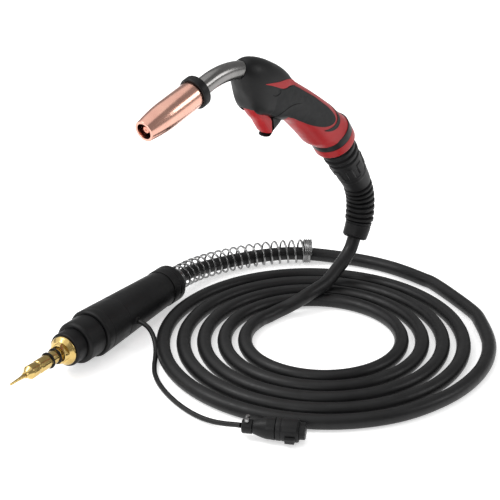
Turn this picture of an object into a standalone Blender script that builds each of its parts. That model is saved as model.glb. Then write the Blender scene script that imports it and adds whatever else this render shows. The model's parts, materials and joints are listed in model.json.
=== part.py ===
"""MIG welding torch with its cable laid out on the floor: gooseneck head, pistol handle on a ball
joint, coiled power cable, rear connector and control lead.

Frame: +Z up, +X towards the rear of the handle, +Y to the torch's right-hand side. The origin is
the middle of the hand grip. All sizes below are in millimetres and are turned into metres as the
meshes are made.
"""
import math

import bmesh
import bpy
from mathutils import Matrix, Vector

MM = 0.001
GAP = 0.3                     # clearance between two touching pieces
FLOOR = -212.0                # height of the floor the cable lies on

# ---- head: nozzle and neck -----------------------------------------------------------------------
NOZZLE_DIP = 15.6             # nozzle axis below the horizontal, degrees
NOZZLE_RADIUS = 12.0
NOZZLE_MOUTH_RADIUS = 9.2
NOZZLE_BORE_RADIUS = 7.0
NOZZLE_BODY_BORE = 10.4
NOZZLE_LENGTH = 61.0          # copper that shows, mouth to insulating ring
NOZZLE_TAPER = 27.0           # length of the tapered mouth
RING_RADIUS = 14.2
RING_WIDTH = 8.0
TIP_RADIUS = 3.2
TIP_BORE = 0.6
TIP_RECESS = 2.5
DIFFUSER_RADIUS = 7.6
DIFFUSER_START = 33.0
NECK_RADIUS = 8.0
NECK_WALL = 1.4
NECK_BEND_RADIUS = 85.0
NECK_APEX = (-103.0, 61.0)    # highest point of the neck's centre line, X and Z
NECK_FRONT_STRAIGHT = 12.6
NECK_REAR_STRAIGHT = 34.0
CONDUCTOR_RADIUS = 5.6
CONDUCTOR_BORE = 3.2
LINER_RADIUS = 2.4
LINER_BORE = 1.1

# ---- handle --------------------------------------------------------------------------------------
GRIP_TILT = 35.0              # the grip runs down towards the rear at this angle
WALL = 2.5                    # moulded wall
SPLIT = 0.15                  # each half shell stops this far from the middle plane
PAD_THICKNESS = 1.3
RIM_CENTRE = (54.0, -45.2)    # rear face of the handle, X and Z
RIM_TILT = 54.0
RIM_RADIUS = 20.8
RIM_WIDTH = 7.0
BAND_RADIUS = 20.5
BAND_WIDTH = 9.0
RIM_BORE = 19.3

# each station: X and Z of its top, X and Z of its bottom, half width, squareness of its lower half
HOOD_STATIONS = [
    (-89.8, 54.7, -85.6, 42.0, 4.5, 2.6),
    (-89.8, 59.5, -81.8, 34.2, 8.5, 3.4),
    (-87.9, 64.0, -77.8, 24.6, 12.0, 4.0),
    (-81.8, 67.0, -73.6, 18.8, 14.8, 4.0),
    (-72.3, 67.8, -68.8, 15.8, 16.5, 4.0),
    (-58.6, 64.0, -62.0, 13.6, 17.4, 3.8),
    (-44.5, 57.0, -56.5, 11.0, 17.7, 3.4),
    (-34.8, 51.0, -50.5, 7.4, 17.7, 3.0),
    (-28.6, 45.8, -42.0, 3.4, 17.5, 2.6),
    (-24.4, 40.4, -34.2, 0.6, 17.3, 2.3),
]
GRIP_STATIONS = [
    (-23.6, 38.4, -33.4, 0.8, 17.0, 2.3),
    (1.3, 22.8, -18.8, -5.7, 17.2, 2.3),
    (19.2, 10.9, -3.2, -19.4, 17.6, 2.3),
    (32.6, 1.4, 7.2, -29.5, 18.2, 2.3),
    (44.1, -8.0, 15.7, -37.4, 18.8, 2.3),
]
SECTION_POWER = 2.3           # roundness of the hood and grip sections

# ---- trigger -------------------------------------------------------------------------------------
TRIGGER_PIN = (-71.5, 28.5)   # X and Z of the hinge pin
TRIGGER_PIN_RADIUS = 1.5
TRIGGER_LEAN = 58.0           # the lever hangs this far below +X
TRIGGER_LENGTH = 41.2
TRIGGER_DEPTH = 5.6           # the switch side of the lever, behind the pin's line
TRIGGER_TRAVEL = 4.0          # degrees
TRIGGER_CROWN = 3.6           # the finger face is set back this much at its sides
TRIGGER_HALF_WIDTH = 7.4
CHANNEL_HALF_WIDTH = 8.0
FIN_HALF_WIDTH = 6.8
PLUNGER_REACH = 26.0          # distance of the switch plunger from the pin
PLUNGER_RADIUS = 1.6
SWITCH_SIZE = (15.0, 6.0, 7.5)
SWITCH_STANDOFF = 10.6

# ---- ball joint and bend relief ------------------------------------------------------------------
BALL_RADIUS = 17.4
BALL_BORE = 8.0
BALL_INSET = 2.0              # ball centre this far ahead of the rim's rear face
LINER_WALL = 0.5
COLLAR_RADIUS = 17.0
SLEEVE_RADII = (17.3, 14.6)
SLEEVE_SPAN = (21.3, 65.8)    # distances behind the rim, along the bend
BOOT_RIB_RADIUS = 14.2
BOOT_VALLEY_RADIUS = 12.3
BOOT_RIBS = 7
BOOT_SPAN = (66.1, 108.9)
BOOT_BORE = 8.2
CUFF_RADII = (13.2, 12.2)
CUFF_SPAN = (109.2, 127.9)
BEND_POINTS = [(66.6, -62.4), (82.0, -83.0), (92.5, -99.0), (98.9, -118.0), (97.8, -141.0),
               (89.9, -158.6)]

# ---- cable ---------------------------------------------------------------------------------------
CABLE_RADIUS = 6.75
COIL_CENTRE = (-32.4, -56.8)
COIL_INNER_RADIUS = 66.0
COIL_OUTER_RADIUS = 156.3
UPPER_ROUTE = [
    (89.3, 0.0, -159.9), (85.4, 0.0, -167.0), (79.6, 0.0, -172.7), (71.4, 0.0, -178.2), (62.0, 0.0, -183.0),
    (51.5, -0.4, -188.0), (40.5, -0.4, -191.0), (25.0, 0.6, -191.3), (10.0, 4.8, -191.3),
]
TAIL_ROUTE = [
    (130.0, -89.0, -205.2), (135.5, -71.0, -205.2), (139.0, -52.0, -205.2), (141.0, -33.0, -205.2),
    (141.2, -14.0, -205.2), (139.0, 5.0, -205.2), (134.5, 24.0, -205.2), (127.5, 42.0, -205.0),
    (118.0, 59.0, -204.0), (106.9, 73.5, -202.6), (93.5, 87.0, -201.6), (78.6, 99.3, -201.5),
    (61.0, 110.0, -201.5), (41.8, 118.8, -201.2), (21.0, 125.0, -200.2), (1.3, 127.4, -198.2),
    (-18.0, 126.4, -195.6), (-37.6, 123.3, -193.7), (-49.6, 121.1, -193.2),
]
SPRING_RADIUS = 12.5
SPRING_WALL = 1.6
SPRING_ROUTE = [
    (-50.0, 121.0, -193.2), (-37.6, 123.3, -193.7), (-18.0, 126.4, -195.2), (1.3, 127.4, -197.0),
    (21.0, 125.0, -198.4), (41.8, 118.8, -199.3), (61.0, 110.0, -199.4), (78.6, 99.3, -199.4),
    (93.5, 87.0, -199.4), (106.9, 73.5, -199.4), (111.6, 67.9, -199.4),
]

# ---- rear connector ------------------------------------------------------------------------------
CONNECTOR_REAR = (-50.1, 121.0, -193.2)
CONNECTOR_DIRECTION = (-0.9842, -0.1742, 0.0326)
REAR_COLLAR_LENGTH = 18.7
HOUSING_END = 137.0
HOUSING_RADII = (18.0, 23.0)
FRONT_COLLAR_END = 160.5
NOSE_RING_END = 174.7
PIN_RADIUS = 6.35
PIN_FLANGE_RADIUS = 13.8
ORING_PLACES = (188.8, 198.6)
PIN_END = 232.0
NEEDLE_END = 251.5
GROMMET_PLACE = 90.0

# ---- control lead and plug -----------------------------------------------------------------------
LEAD_RADIUS = 2.3
SCREW_PLACES = [(-38.0, 12.0), (4.0, -14.0), (30.0, -36.0)]
SCREW_REACH = 9.0             # a screw's end lies this far left of the middle plane
SCREW_HEAD_RADIUS = 2.9
SCREW_SHANK_RADIUS = 1.5
SCREW_HEADS = [15.0, 14.4, 14.6]
LEAD_ROUTE = [
    (-134.6, 82.0, -190.4), (-133.9, 77.0, -190.8), (-133.9, 72.0, -192.8), (-135.2, 67.4, -196.8),
    (-138.2, 62.6, -201.9), (-143.4, 57.4, -206.4), (-151.0, 50.4, -209.0), (-161.0, 41.0, -209.6),
    (-172.6, 28.6, -209.6), (-183.0, 13.5, -209.6), (-191.6, -3.6, -209.6), (-198.0, -21.5, -209.6),
    (-202.0, -39.0, -209.6), (-203.8, -55.5, -209.3), (-203.9, -70.0, -208.0), (-203.0, -83.4, -205.4),
    (-201.9, -94.5, -202.4), (-201.6, -99.2, -201.2),
]
PLUG_REAR = (-201.4, -100.3, -201.2)
PLUG_DIRECTION = (0.502, -0.865, 0.0)
PLUG_RADIUS = 10.0
TAB_ANGLE = 20.0              # the key tab sits this far below the horizontal


# ---- materials -----------------------------------------------------------------------------------
def material(name, colour, roughness, metallic=0.0):
    """A Principled material, made once and shared."""
    found = bpy.data.materials.get(name)
    if found:
        return found
    made = bpy.data.materials.new(name)
    made.use_nodes = True
    shader = made.node_tree.nodes["Principled BSDF"]
    shader.inputs["Base Color"].default_value = (*colour, 1.0)
    shader.inputs["Roughness"].default_value = roughness
    shader.inputs["Metallic"].default_value = metallic
    return made


def finish(kind):
    """The material of one kind of surface."""
    table = {
        "copper": ((0.80, 0.45, 0.33), 0.28, 1.0),
        "tip_copper": ((0.86, 0.55, 0.42), 0.35, 1.0),
        "brass": ((0.80, 0.62, 0.28), 0.25, 1.0),
        "steel": ((0.42, 0.41, 0.40), 0.35, 1.0),
        "spring_steel": ((0.62, 0.62, 0.62), 0.25, 1.0),
        "red_plastic": ((0.55, 0.03, 0.03), 0.45, 0.0),
        "black_plastic": ((0.020, 0.020, 0.021), 0.45, 0.0),
        "soft_grip": ((0.040, 0.040, 0.042), 0.7, 0.0),
        "rubber": ((0.016, 0.016, 0.017), 0.6, 0.0),
        "cable_rubber": ((0.025, 0.025, 0.027), 0.5, 0.0),
        "white_plastic": ((0.7, 0.7, 0.66), 0.5, 0.0),
    }
    return material(kind, *table[kind])


# ---- mesh helpers --------------------------------------------------------------------------------
def new_object(name, verts, faces, kind):
    """A closed mesh object with outward faces; verts are in millimetres."""
    mesh = bpy.data.meshes.new(name)
    mesh.from_pydata([Vector(v) * MM for v in verts], [], faces)
    work = bmesh.new()
    work.from_mesh(mesh)
    bmesh.ops.remove_doubles(work, verts=work.verts, dist=1e-7)
    bmesh.ops.recalc_face_normals(work, faces=work.faces)
    work.to_mesh(mesh)
    work.free()
    mesh.shade_smooth()
    mesh.set_sharp_from_angle(angle=math.radians(38))
    obj = bpy.data.objects.new(name, mesh)
    obj.data.materials.append(finish(kind))
    bpy.context.scene.collection.objects.link(obj)
    return obj


def loft(name, rings, kind):
    """A solid through loops of equal length, capped at both ends."""
    count = len(rings[0])
    verts = [p for ring in rings for p in ring]
    faces = [list(range(count)), [len(verts) - count + i for i in range(count)]]
    for row in range(len(rings) - 1):
        for i in range(count):
            j = (i + 1) % count
            faces.append([row * count + i, row * count + j, (row + 1) * count + j, (row + 1) * count + i])
    return new_object(name, verts, faces, kind)


def ring_loft(name, outer, inner, kind):
    """A tube between outer and inner loops, open through the middle."""
    count = len(outer[0])
    shift = len(outer) * count
    verts = [p for ring in outer for p in ring] + [p for ring in inner for p in ring]
    last_outer, last_inner = (len(outer) - 1) * count, shift + (len(inner) - 1) * count
    faces = []
    for i in range(count):
        j = (i + 1) % count
        for start, rows in ((0, len(outer)), (shift, len(inner))):
            for row in range(rows - 1):
                a, b = start + row * count + i, start + row * count + j
                faces.append([a, b, b + count, a + count])
        faces.append([i, shift + i, shift + j, j])
        faces.append([last_outer + i, last_outer + j, last_inner + j, last_inner + i])
    return new_object(name, verts, faces, kind)


def frame_at(direction):
    """Two unit vectors across a direction; the first stays horizontal."""
    along = Vector(direction).normalized()
    side = along.cross(Vector((0, 0, 1)))
    if side.length < 1e-6:
        side = Vector((0, 1, 0))
    side.normalize()
    return along, side, side.cross(along)


def circle(centre, direction, radius, segments):
    """Points of a circle across a direction."""
    _, side, up = frame_at(direction)
    points = []
    for i in range(segments):
        turn = 2 * math.pi * i / segments
        points.append(Vector(centre) + radius * (math.cos(turn) * side + math.sin(turn) * up))
    return points


def turned(name, profile, origin, direction, kind, segments=20):
    """A closed outline of (distance, radius) pairs turned about an axis."""
    along, side, up = frame_at(direction)
    verts, faces = [], []
    count = len(profile)
    for i in range(segments):
        turn = 2 * math.pi * i / segments
        out = math.cos(turn) * side + math.sin(turn) * up
        verts += [Vector(origin) + along * s + out * r for s, r in profile]
    for i in range(segments):
        j = (i + 1) % segments
        for k in range(count):
            m = (k + 1) % count
            corners = [i * count + k, i * count + m, j * count + m, j * count + k]
            if profile[k][1] == 0.0 and profile[m][1] == 0.0:
                continue
            if profile[k][1] == 0.0:
                corners = corners[:3]
            elif profile[m][1] == 0.0:
                corners = [corners[0], corners[1], corners[3]]
            faces.append(corners)
    return new_object(name, verts, faces, kind)


def smooth_points(route, step):
    """Points at even steps on a smooth curve through the route's points."""
    pts = [Vector(p) for p in route]
    ends = [2 * pts[0] - pts[1]] + pts + [2 * pts[-1] - pts[-2]]
    dense = []
    for k in range(1, len(ends) - 2):
        a, b, c, d = ends[k - 1:k + 3]
        for i in range(16):
            t = i / 16
            dense.append(0.5 * (2 * b + (c - a) * t + (2 * a - 5 * b + 4 * c - d) * t * t
                                + (3 * b - a - 3 * c + d) * t ** 3))
    dense.append(pts[-1])
    length = sum((q - p).length for p, q in zip(dense, dense[1:]))
    count = max(2, round(length / step))
    result, goal, run = [dense[0]], length / count, 0.0
    for p, q in zip(dense, dense[1:]):
        piece = (q - p).length
        while run + piece >= goal * len(result) and len(result) < count:
            result.append(p + (q - p) * ((goal * len(result) - run) / piece))
        run += piece
    result.append(dense[-1])
    return result


def tangents(points):
    """Unit directions along a line of points."""
    last = len(points) - 1
    return [(points[min(i + 1, last)] - points[max(i - 1, 0)]).normalized() for i in range(last + 1)]


def plane_frame_circle(centre, direction, radius, segments):
    """A circle across a direction that lies in the XZ plane, without twist."""
    side = Vector((0, 1, 0))
    up = side.cross(Vector(direction)).normalized()
    points = []
    for i in range(segments):
        turn = 2 * math.pi * i / segments
        points.append(Vector(centre) + radius * (math.cos(turn) * side + math.sin(turn) * up))
    return points


def plane_tube(name, stations, kind, bore, segments=16, inner_step=1):
    """A tube along points in the XZ plane. Each station is (point, direction, radius)."""
    outer = [plane_frame_circle(p, d, r, segments) for p, d, r in stations]
    if not bore:
        return loft(name, outer, kind)
    inside = stations[:-1:inner_step] + [stations[-1]]
    inner = [plane_frame_circle(p, d, bore, segments) for p, d, _ in inside]
    return ring_loft(name, outer, inner, kind)


def curve_tube(name, points, radius, kind, resolution=3):
    """A cable: a curve object with a round bevel and filled caps."""
    data = bpy.data.curves.new(name, "CURVE")
    data.dimensions = "3D"
    data.bevel_depth = radius * MM
    data.bevel_resolution = resolution
    data.use_fill_caps = True
    data.render_resolution_u = 0
    spline = data.splines.new("POLY")
    spline.points.add(len(points) - 1)
    for slot, p in zip(spline.points, points):
        slot.co = (p[0] * MM, p[1] * MM, p[2] * MM, 1.0)
    obj = bpy.data.objects.new(name, data)
    data.materials.append(finish(kind))
    bpy.context.scene.collection.objects.link(obj)
    return obj


def prism(name, outline, half_width, kind, bevel=0.0):
    """An XZ outline drawn out to both sides of the middle plane."""
    rings = [[(x, y, z) for x, z in outline] for y in (-half_width, half_width)]
    obj = loft(name, rings, kind)
    if bevel:
        edge = obj.modifiers.new("edges", "BEVEL")
        edge.width = bevel * MM
        edge.segments = 2
        edge.limit_method = "ANGLE"
        edge.angle_limit = math.radians(40)
    return obj


def join(obj, other):
    """Adds another solid's shape to an object."""
    other.hide_render = True
    other.display_type = "WIRE"
    change = obj.modifiers.new("join_" + other.name, "BOOLEAN")
    change.operation = "UNION"
    change.object = other


def cut(obj, cutter):
    """Takes the cutter's shape out of an object."""
    cutter.hide_render = True
    cutter.display_type = "WIRE"
    change = obj.modifiers.new("cut_" + cutter.name, "BOOLEAN")
    change.operation = "DIFFERENCE"
    change.object = cutter


# ---- neck and nozzle -----------------------------------------------------------------------------
def neck_line():
    """Points and directions of the neck's centre line, from its front end to its rear end."""
    dip, tilt = math.radians(NOZZLE_DIP), math.radians(GRIP_TILT)
    apex = Vector((NECK_APEX[0], 0, NECK_APEX[1]))
    centre = apex - Vector((0, 0, NECK_BEND_RADIUS))
    line = []
    steps = 9
    for i in range(steps + 1):
        angle = -dip + (dip + tilt) * i / steps
        point = centre + NECK_BEND_RADIUS * Vector((math.sin(angle), 0, math.cos(angle)))
        line.append((point, Vector((math.cos(angle), 0, -math.sin(angle)))))
    front_point, front_dir = line[0]
    rear_point, rear_dir = line[-1]
    ahead = NECK_FRONT_STRAIGHT + RING_WIDTH - 5.0
    line.insert(0, (front_point - front_dir * ahead, front_dir))
    line.append((rear_point + rear_dir * NECK_REAR_STRAIGHT, rear_dir))
    return line


def nozzle_axis():
    """The centre of the nozzle's mouth and the direction towards the handle."""
    dip = math.radians(NOZZLE_DIP)
    back = Vector((math.cos(dip), 0, math.sin(dip)))
    front_point = neck_line()[1][0]
    mouth = front_point - back * (NECK_FRONT_STRAIGHT + RING_WIDTH + NOZZLE_LENGTH)
    return mouth, back


def build_neck():
    line = neck_line()
    jacket = [(p, d, NECK_RADIUS) for p, d in line]
    plane_tube("neck_tube", jacket, "steel", NECK_RADIUS - NECK_WALL)
    plane_tube("neck_conductor", [(p, d, CONDUCTOR_RADIUS) for p, d in line], "copper", CONDUCTOR_BORE, 10)
    plane_tube("neck_liner", [(p, d, LINER_RADIUS) for p, d in line], "spring_steel", LINER_BORE, 8)


def build_nozzle():
    mouth, back = nozzle_axis()
    end = NOZZLE_LENGTH
    nozzle = [
        (0.6, NOZZLE_MOUTH_RADIUS), (NOZZLE_TAPER * 0.5, 11.0), (NOZZLE_TAPER, NOZZLE_RADIUS),
        (end - GAP, NOZZLE_RADIUS), (end - GAP, 11.4), (end + 4.5, 11.4), (end + 4.5, NOZZLE_BODY_BORE),
        (NOZZLE_TAPER, NOZZLE_BODY_BORE), (6.0, NOZZLE_BORE_RADIUS), (0.0, NOZZLE_BORE_RADIUS),
        (0.0, NOZZLE_MOUTH_RADIUS - 0.6),
    ]
    turned("gas_nozzle", nozzle, mouth, back, "copper", 24)
    ring = [
        (end, RING_RADIUS - 1.0), (end + 1.0, RING_RADIUS), (end + RING_WIDTH - 1.2, RING_RADIUS),
        (end + RING_WIDTH, RING_RADIUS - 1.2), (end + RING_WIDTH, NECK_RADIUS + GAP),
        (end + 5.0, NECK_RADIUS + GAP), (end + 5.0, 11.4 + GAP), (end, 11.4 + GAP),
    ]
    turned("nozzle_insulator", ring, mouth, back, "black_plastic", 24)
    tip_end = DIFFUSER_START - GAP
    tip = [
        (TIP_RECESS, TIP_BORE), (TIP_RECESS, TIP_RADIUS - 0.4), (TIP_RECESS + 0.6, TIP_RADIUS),
        (tip_end - 8.0, TIP_RADIUS), (tip_end - 6.5, TIP_RADIUS + 0.9), (tip_end, TIP_RADIUS + 0.9),
        (tip_end, TIP_BORE),
    ]
    turned("contact_tip", tip, mouth, back, "tip_copper", 12)
    neck_front = end + 5.0
    diffuser = [
        (DIFFUSER_START, 1.3), (DIFFUSER_START, 5.6), (DIFFUSER_START + 3.0, DIFFUSER_RADIUS),
        (end - 4.0, DIFFUSER_RADIUS), (end - 4.0, 8.6), (neck_front - GAP, 8.6), (neck_front - GAP, 1.3),
    ]
    turned("gas_diffuser", diffuser, mouth, back, "brass", 12)
    clip = [(end - 11.0, DIFFUSER_RADIUS + GAP), (end - 11.0, 9.9), (end - 5.0, 9.9),
            (end - 5.0, DIFFUSER_RADIUS + GAP)]
    turned("nozzle_clip", clip, mouth, back, "spring_steel", 12)


# ---- handle --------------------------------------------------------------------------------------
def section_point(station, fraction, side, grow=0.0):
    """A point of a section: fraction is its height as a share, -1 bottom to 1 top."""
    top = Vector((station[0], 0, station[1]))
    bottom = Vector((station[2], 0, station[3]))
    up = (top - bottom).normalized()
    height = (top - bottom).length / 2 + grow
    power = SECTION_POWER if fraction > 0 else station[5]
    flat = max(0.0, 1.0 - abs(fraction) ** power) ** (1.0 / power)
    return (top + bottom) / 2 + up * fraction * height + Vector((0, side * (station[4] + grow) * flat, 0))


def half_outline(station, side, grow=0.0, count=13):
    """The outer line of half a section, top to bottom, beside the middle plane."""
    points = []
    for i in range(count):
        fraction = math.cos(math.pi * i / (count - 1))
        p = section_point(station, fraction, side, grow)
        if abs(p.y) < SPLIT:
            p.y = side * SPLIT
        points.append(p)
    return points


def channel_outline():
    """The space in the hood that the trigger moves in, as an XZ outline."""
    end = TRIGGER_LENGTH
    swing = math.radians(TRIGGER_TRAVEL)
    deep = TRIGGER_DEPTH
    room = 0.8
    back = [(-6.4, 5.2), (6.0, 6.0), (PLUNGER_REACH - 6.0, deep + swing * 20.0 + room),
            (31.0, deep + swing * 31.0 + room), (end - 3.6, deep - 3.0 + swing * 38.0 + room),
            (end + room, 0.6 + swing * end + room)]
    corners = [lever_point(a, b) for a, b in back + [(end + room, -25.0), (3.6, -25.0), (3.6, -6.6),
                                                  (0.4, -5.2), (-6.4, -2.4)]]
    return [(c.x, c.z) for c in corners]


def build_hood():
    """The two black front mouldings: solid halves round the neck and the trigger channel."""
    bore = [(p, d, NECK_RADIUS + GAP) for p, d in neck_line()]
    bore[-1] = (bore[-1][0] + bore[-1][1] * 8.0, bore[-1][1], bore[-1][2])
    for word, side in (("left", -1), ("right", 1)):
        rings = [half_outline(s, side) for s in HOOD_STATIONS]
        hood = loft("hood_" + word, rings, "black_plastic")
        join(hood, fin_half("fin_" + word, side))
        cut(hood, plane_tube("neck_bore_" + word, bore, "steel", 0.0))
        cut(hood, prism("trigger_channel_" + word, channel_outline(), CHANNEL_HALF_WIDTH, "steel"))
        cut(hood, pin_solid("pin_hole_" + word, TRIGGER_PIN_RADIUS + GAP * 0.5, 13.2))
        cut(hood, switch_solid("switch_pocket_" + word, GAP))
        cut(hood, clamp_block("clamp_pocket_" + word, GAP))


def build_grip():
    """The two red half shells of the grip, open at both ends."""
    for word, side in (("left", -1), ("right", 1)):
        rings = []
        for station in GRIP_STATIONS:
            outer = half_outline(station, side)
            inner = half_outline(station, side, -WALL)
            rings.append(outer + inner[::-1])
        rings.append(rear_half_ring(side))
        shell = loft("grip_shell_" + word, rings, "red_plastic")
        cut(shell, clamp_block("clamp_room_" + word, GAP))
        for number in range(len(SCREW_PLACES)):
            if SCREW_PLACES[number][0] > HOOD_STATIONS[-1][0]:
                cut(shell, screw_solid("screw_hole_%s_%d" % (word, number), number, GAP))


def rear_half_ring(side):
    """Where the grip turns into a circle, just ahead of the band."""
    centre, out = rim_axis()
    middle = centre - out * (RIM_WIDTH + BAND_WIDTH + 2 * GAP)
    up = Vector((-out.z, 0, out.x)) * BAND_RADIUS
    top, bottom = middle + up, middle - up
    station = (top.x, top.z, bottom.x, bottom.z, BAND_RADIUS, 2.0)
    return half_outline(station, side) + half_outline(station, side, RIM_BORE - 1.2 - BAND_RADIUS)[::-1]


def build_pads():
    """The soft side pads: thin curved plates over the grip shells."""
    spans = [(0, 0.0, 0.72), (0, 0.5, 0.72), (1, 0.0, 0.72), (1, 0.5, 0.71), (2, 0.0, 0.68),
             (2, 0.5, 0.62), (3, 0.0, 0.50), (3, 0.45, 0.26)]
    rows, columns = len(spans), 9
    for word, side in (("left", -1), ("right", 1)):
        layers = []
        for grow in (GAP + PAD_THICKNESS, GAP):
            layer = []
            for index, share, reach in spans:
                a, b = GRIP_STATIONS[index], GRIP_STATIONS[index + 1]
                station = [u + (v - u) * share for u, v in zip(a, b)]
                layer.append([section_point(station, reach * (1 - 2 * i / (columns - 1)), side, grow)
                              for i in range(columns)])
            layers.append(layer)
        verts = [p for layer in layers for row in layer for p in row]
        half = rows * columns
        faces = []
        for r in range(rows - 1):
            for c in range(columns - 1):
                a = r * columns + c
                faces.append([a, a + 1, a + columns + 1, a + columns])
                faces.append([half + a, half + a + columns, half + a + columns + 1, half + a + 1])
        rim = [c for c in range(columns)]
        rim += [r * columns + columns - 1 for r in range(1, rows)]
        rim += [(rows - 1) * columns + c for c in range(columns - 2, -1, -1)]
        rim += [r * columns for r in range(rows - 2, 0, -1)]
        for a, b in zip(rim, rim[1:] + rim[:1]):
            faces.append([a, half + a, half + b, b])
        pad = new_object("grip_pad_" + word, verts, faces, "soft_grip")
        for number in range(len(SCREW_PLACES)):
            if SCREW_PLACES[number][0] > HOOD_STATIONS[-1][0]:
                cut(pad, screw_solid("pad_hole_%s_%d" % (word, number), number, 2 * GAP))


def rim_axis():
    """The rear rim's centre and the direction that leads out of the handle."""
    lean = math.radians(RIM_TILT)
    return Vector((RIM_CENTRE[0], 0, RIM_CENTRE[1])), Vector((math.cos(lean), 0, -math.sin(lean)))


def build_rear_rings():
    centre, out = rim_axis()
    band_end = -RIM_WIDTH - GAP
    band = [(band_end - BAND_WIDTH, BAND_RADIUS), (band_end, BAND_RADIUS), (band_end, RIM_BORE),
            (band_end - BAND_WIDTH, RIM_BORE)]
    turned("grip_band", band, centre, out, "black_plastic", 24)
    rim = [(-RIM_WIDTH, RIM_RADIUS), (-1.5, RIM_RADIUS), (0.0, RIM_RADIUS - 1.0), (0.0, RIM_BORE),
           (-RIM_WIDTH, RIM_BORE)]
    turned("rear_rim", rim, centre, out, "red_plastic", 24)


def screw_solid(name, number, grow=0.0):
    """A shell screw, driven from the right side."""
    x, z = SCREW_PLACES[number]
    head = SCREW_HEADS[number]
    top = head + 2.2 + (12.0 if grow else 0.0)
    profile = [(-SCREW_REACH - grow, 0.0), (-SCREW_REACH - grow, SCREW_SHANK_RADIUS + grow),
               (head - grow, SCREW_SHANK_RADIUS + grow), (head - grow, SCREW_HEAD_RADIUS + grow),
               (top, SCREW_HEAD_RADIUS + grow), (top, 0.0)]
    return turned(name, profile, (x, 0, z), (0, 1, 0), "steel", 10)


def build_screws():
    for number in range(len(SCREW_PLACES)):
        screw_solid("shell_screw_%d" % (number + 1), number)
    for word in ("left", "right"):
        cut(bpy.data.objects["hood_" + word], screw_solid("hood_screw_hole_" + word, 0, GAP))


def fin_half(name, side):
    """Half of the fin below the hood that guards the end of the trigger."""
    outline = [(-60.0, 16.0), (-57.8, 4.0), (-57.6, -4.6), (-56.2, -8.2), (-53.2, -10.2), (-49.8, -9.8),
               (-44.8, -6.0), (-35.8, -0.2), (-38.0, 6.0), (-42.0, 16.0)]
    raised = [(x + (0.9 if x < -53.0 else -0.9) if z < 3.0 else x, z + (1.8 if z < 3.0 else 0.0))
              for x, z in outline]
    widths = [(SPLIT, outline), (FIN_HALF_WIDTH * 0.55, outline), (FIN_HALF_WIDTH, raised)]
    rings = [[(x, side * y, z) for x, z in shape] for y, shape in widths]
    return loft(name, rings if side > 0 else rings[::-1], "black_plastic")


def clamp_block(name, grow=0.0):
    """The brass block that clamps the neck's rear end to the power core."""
    rear_point, rear_dir = neck_line()[-1]
    start = rear_point + rear_dir * GAP
    block = [(-grow, 0.0), (-grow, 10.0 + grow), (22.0, 10.0 + grow), (24.0, 7.0 + grow),
             (28.0 + grow, 7.0 + grow), (28.0 + grow, 0.0)]
    return turned(name, block, start, rear_dir, "brass", 14)


def build_core():
    """The clamp block at the neck's rear end and the power core that runs to the ball."""
    clamp_block("neck_clamp_block")
    rear_point, rear_dir = neck_line()[-1]
    start = rear_point + rear_dir * GAP
    centre, out = rim_axis()
    ball = centre - out * BALL_INSET
    route = [start + rear_dir * (28.0 + GAP), start + rear_dir * 36.0, ball - out * 22.0, ball - out * 12.0,
             ball]
    points = smooth_points(route, 12.0)
    plane_tube("power_core", [(p, d, 4.2) for p, d in zip(points, tangents(points))], "cable_rubber", 0.0, 12)


# ---- trigger -------------------------------------------------------------------------------------
def lever_point(along, outward, y=0.0):
    """A point in the trigger's own directions: down the lever from the pin, and towards the rear."""
    lean = math.radians(TRIGGER_LEAN)
    down = Vector((math.cos(lean), 0, -math.sin(lean)))
    rear = Vector((math.sin(lean), 0, math.cos(lean)))
    return Vector((TRIGGER_PIN[0], y, TRIGGER_PIN[1])) + down * along + rear * outward


def pin_solid(name, radius, half_length):
    profile = [(-half_length, 0.0), (-half_length, radius), (half_length, radius), (half_length, 0.0)]
    return turned(name, profile, (TRIGGER_PIN[0], 0, TRIGGER_PIN[1]), (0, 1, 0), "steel", 10)


def box_between(name, low, high, half_width, kind):
    """A box in the trigger's directions, from one corner to the other."""
    corners = [lever_point(low[0], low[1]), lever_point(high[0], low[1]), lever_point(high[0], high[1]),
               lever_point(low[0], high[1])]
    return prism(name, [(c.x, c.z) for c in corners], half_width, kind)


def switch_solid(name, grow=0.0):
    length, width, height = SWITCH_SIZE
    low = (PLUNGER_REACH - length / 2 - grow, SWITCH_STANDOFF - (6.0 if grow else 0.0))
    high = (PLUNGER_REACH + length / 2 + grow, SWITCH_STANDOFF + height + grow)
    return box_between(name, low, high, width / 2 + grow, "black_plastic")


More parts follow.
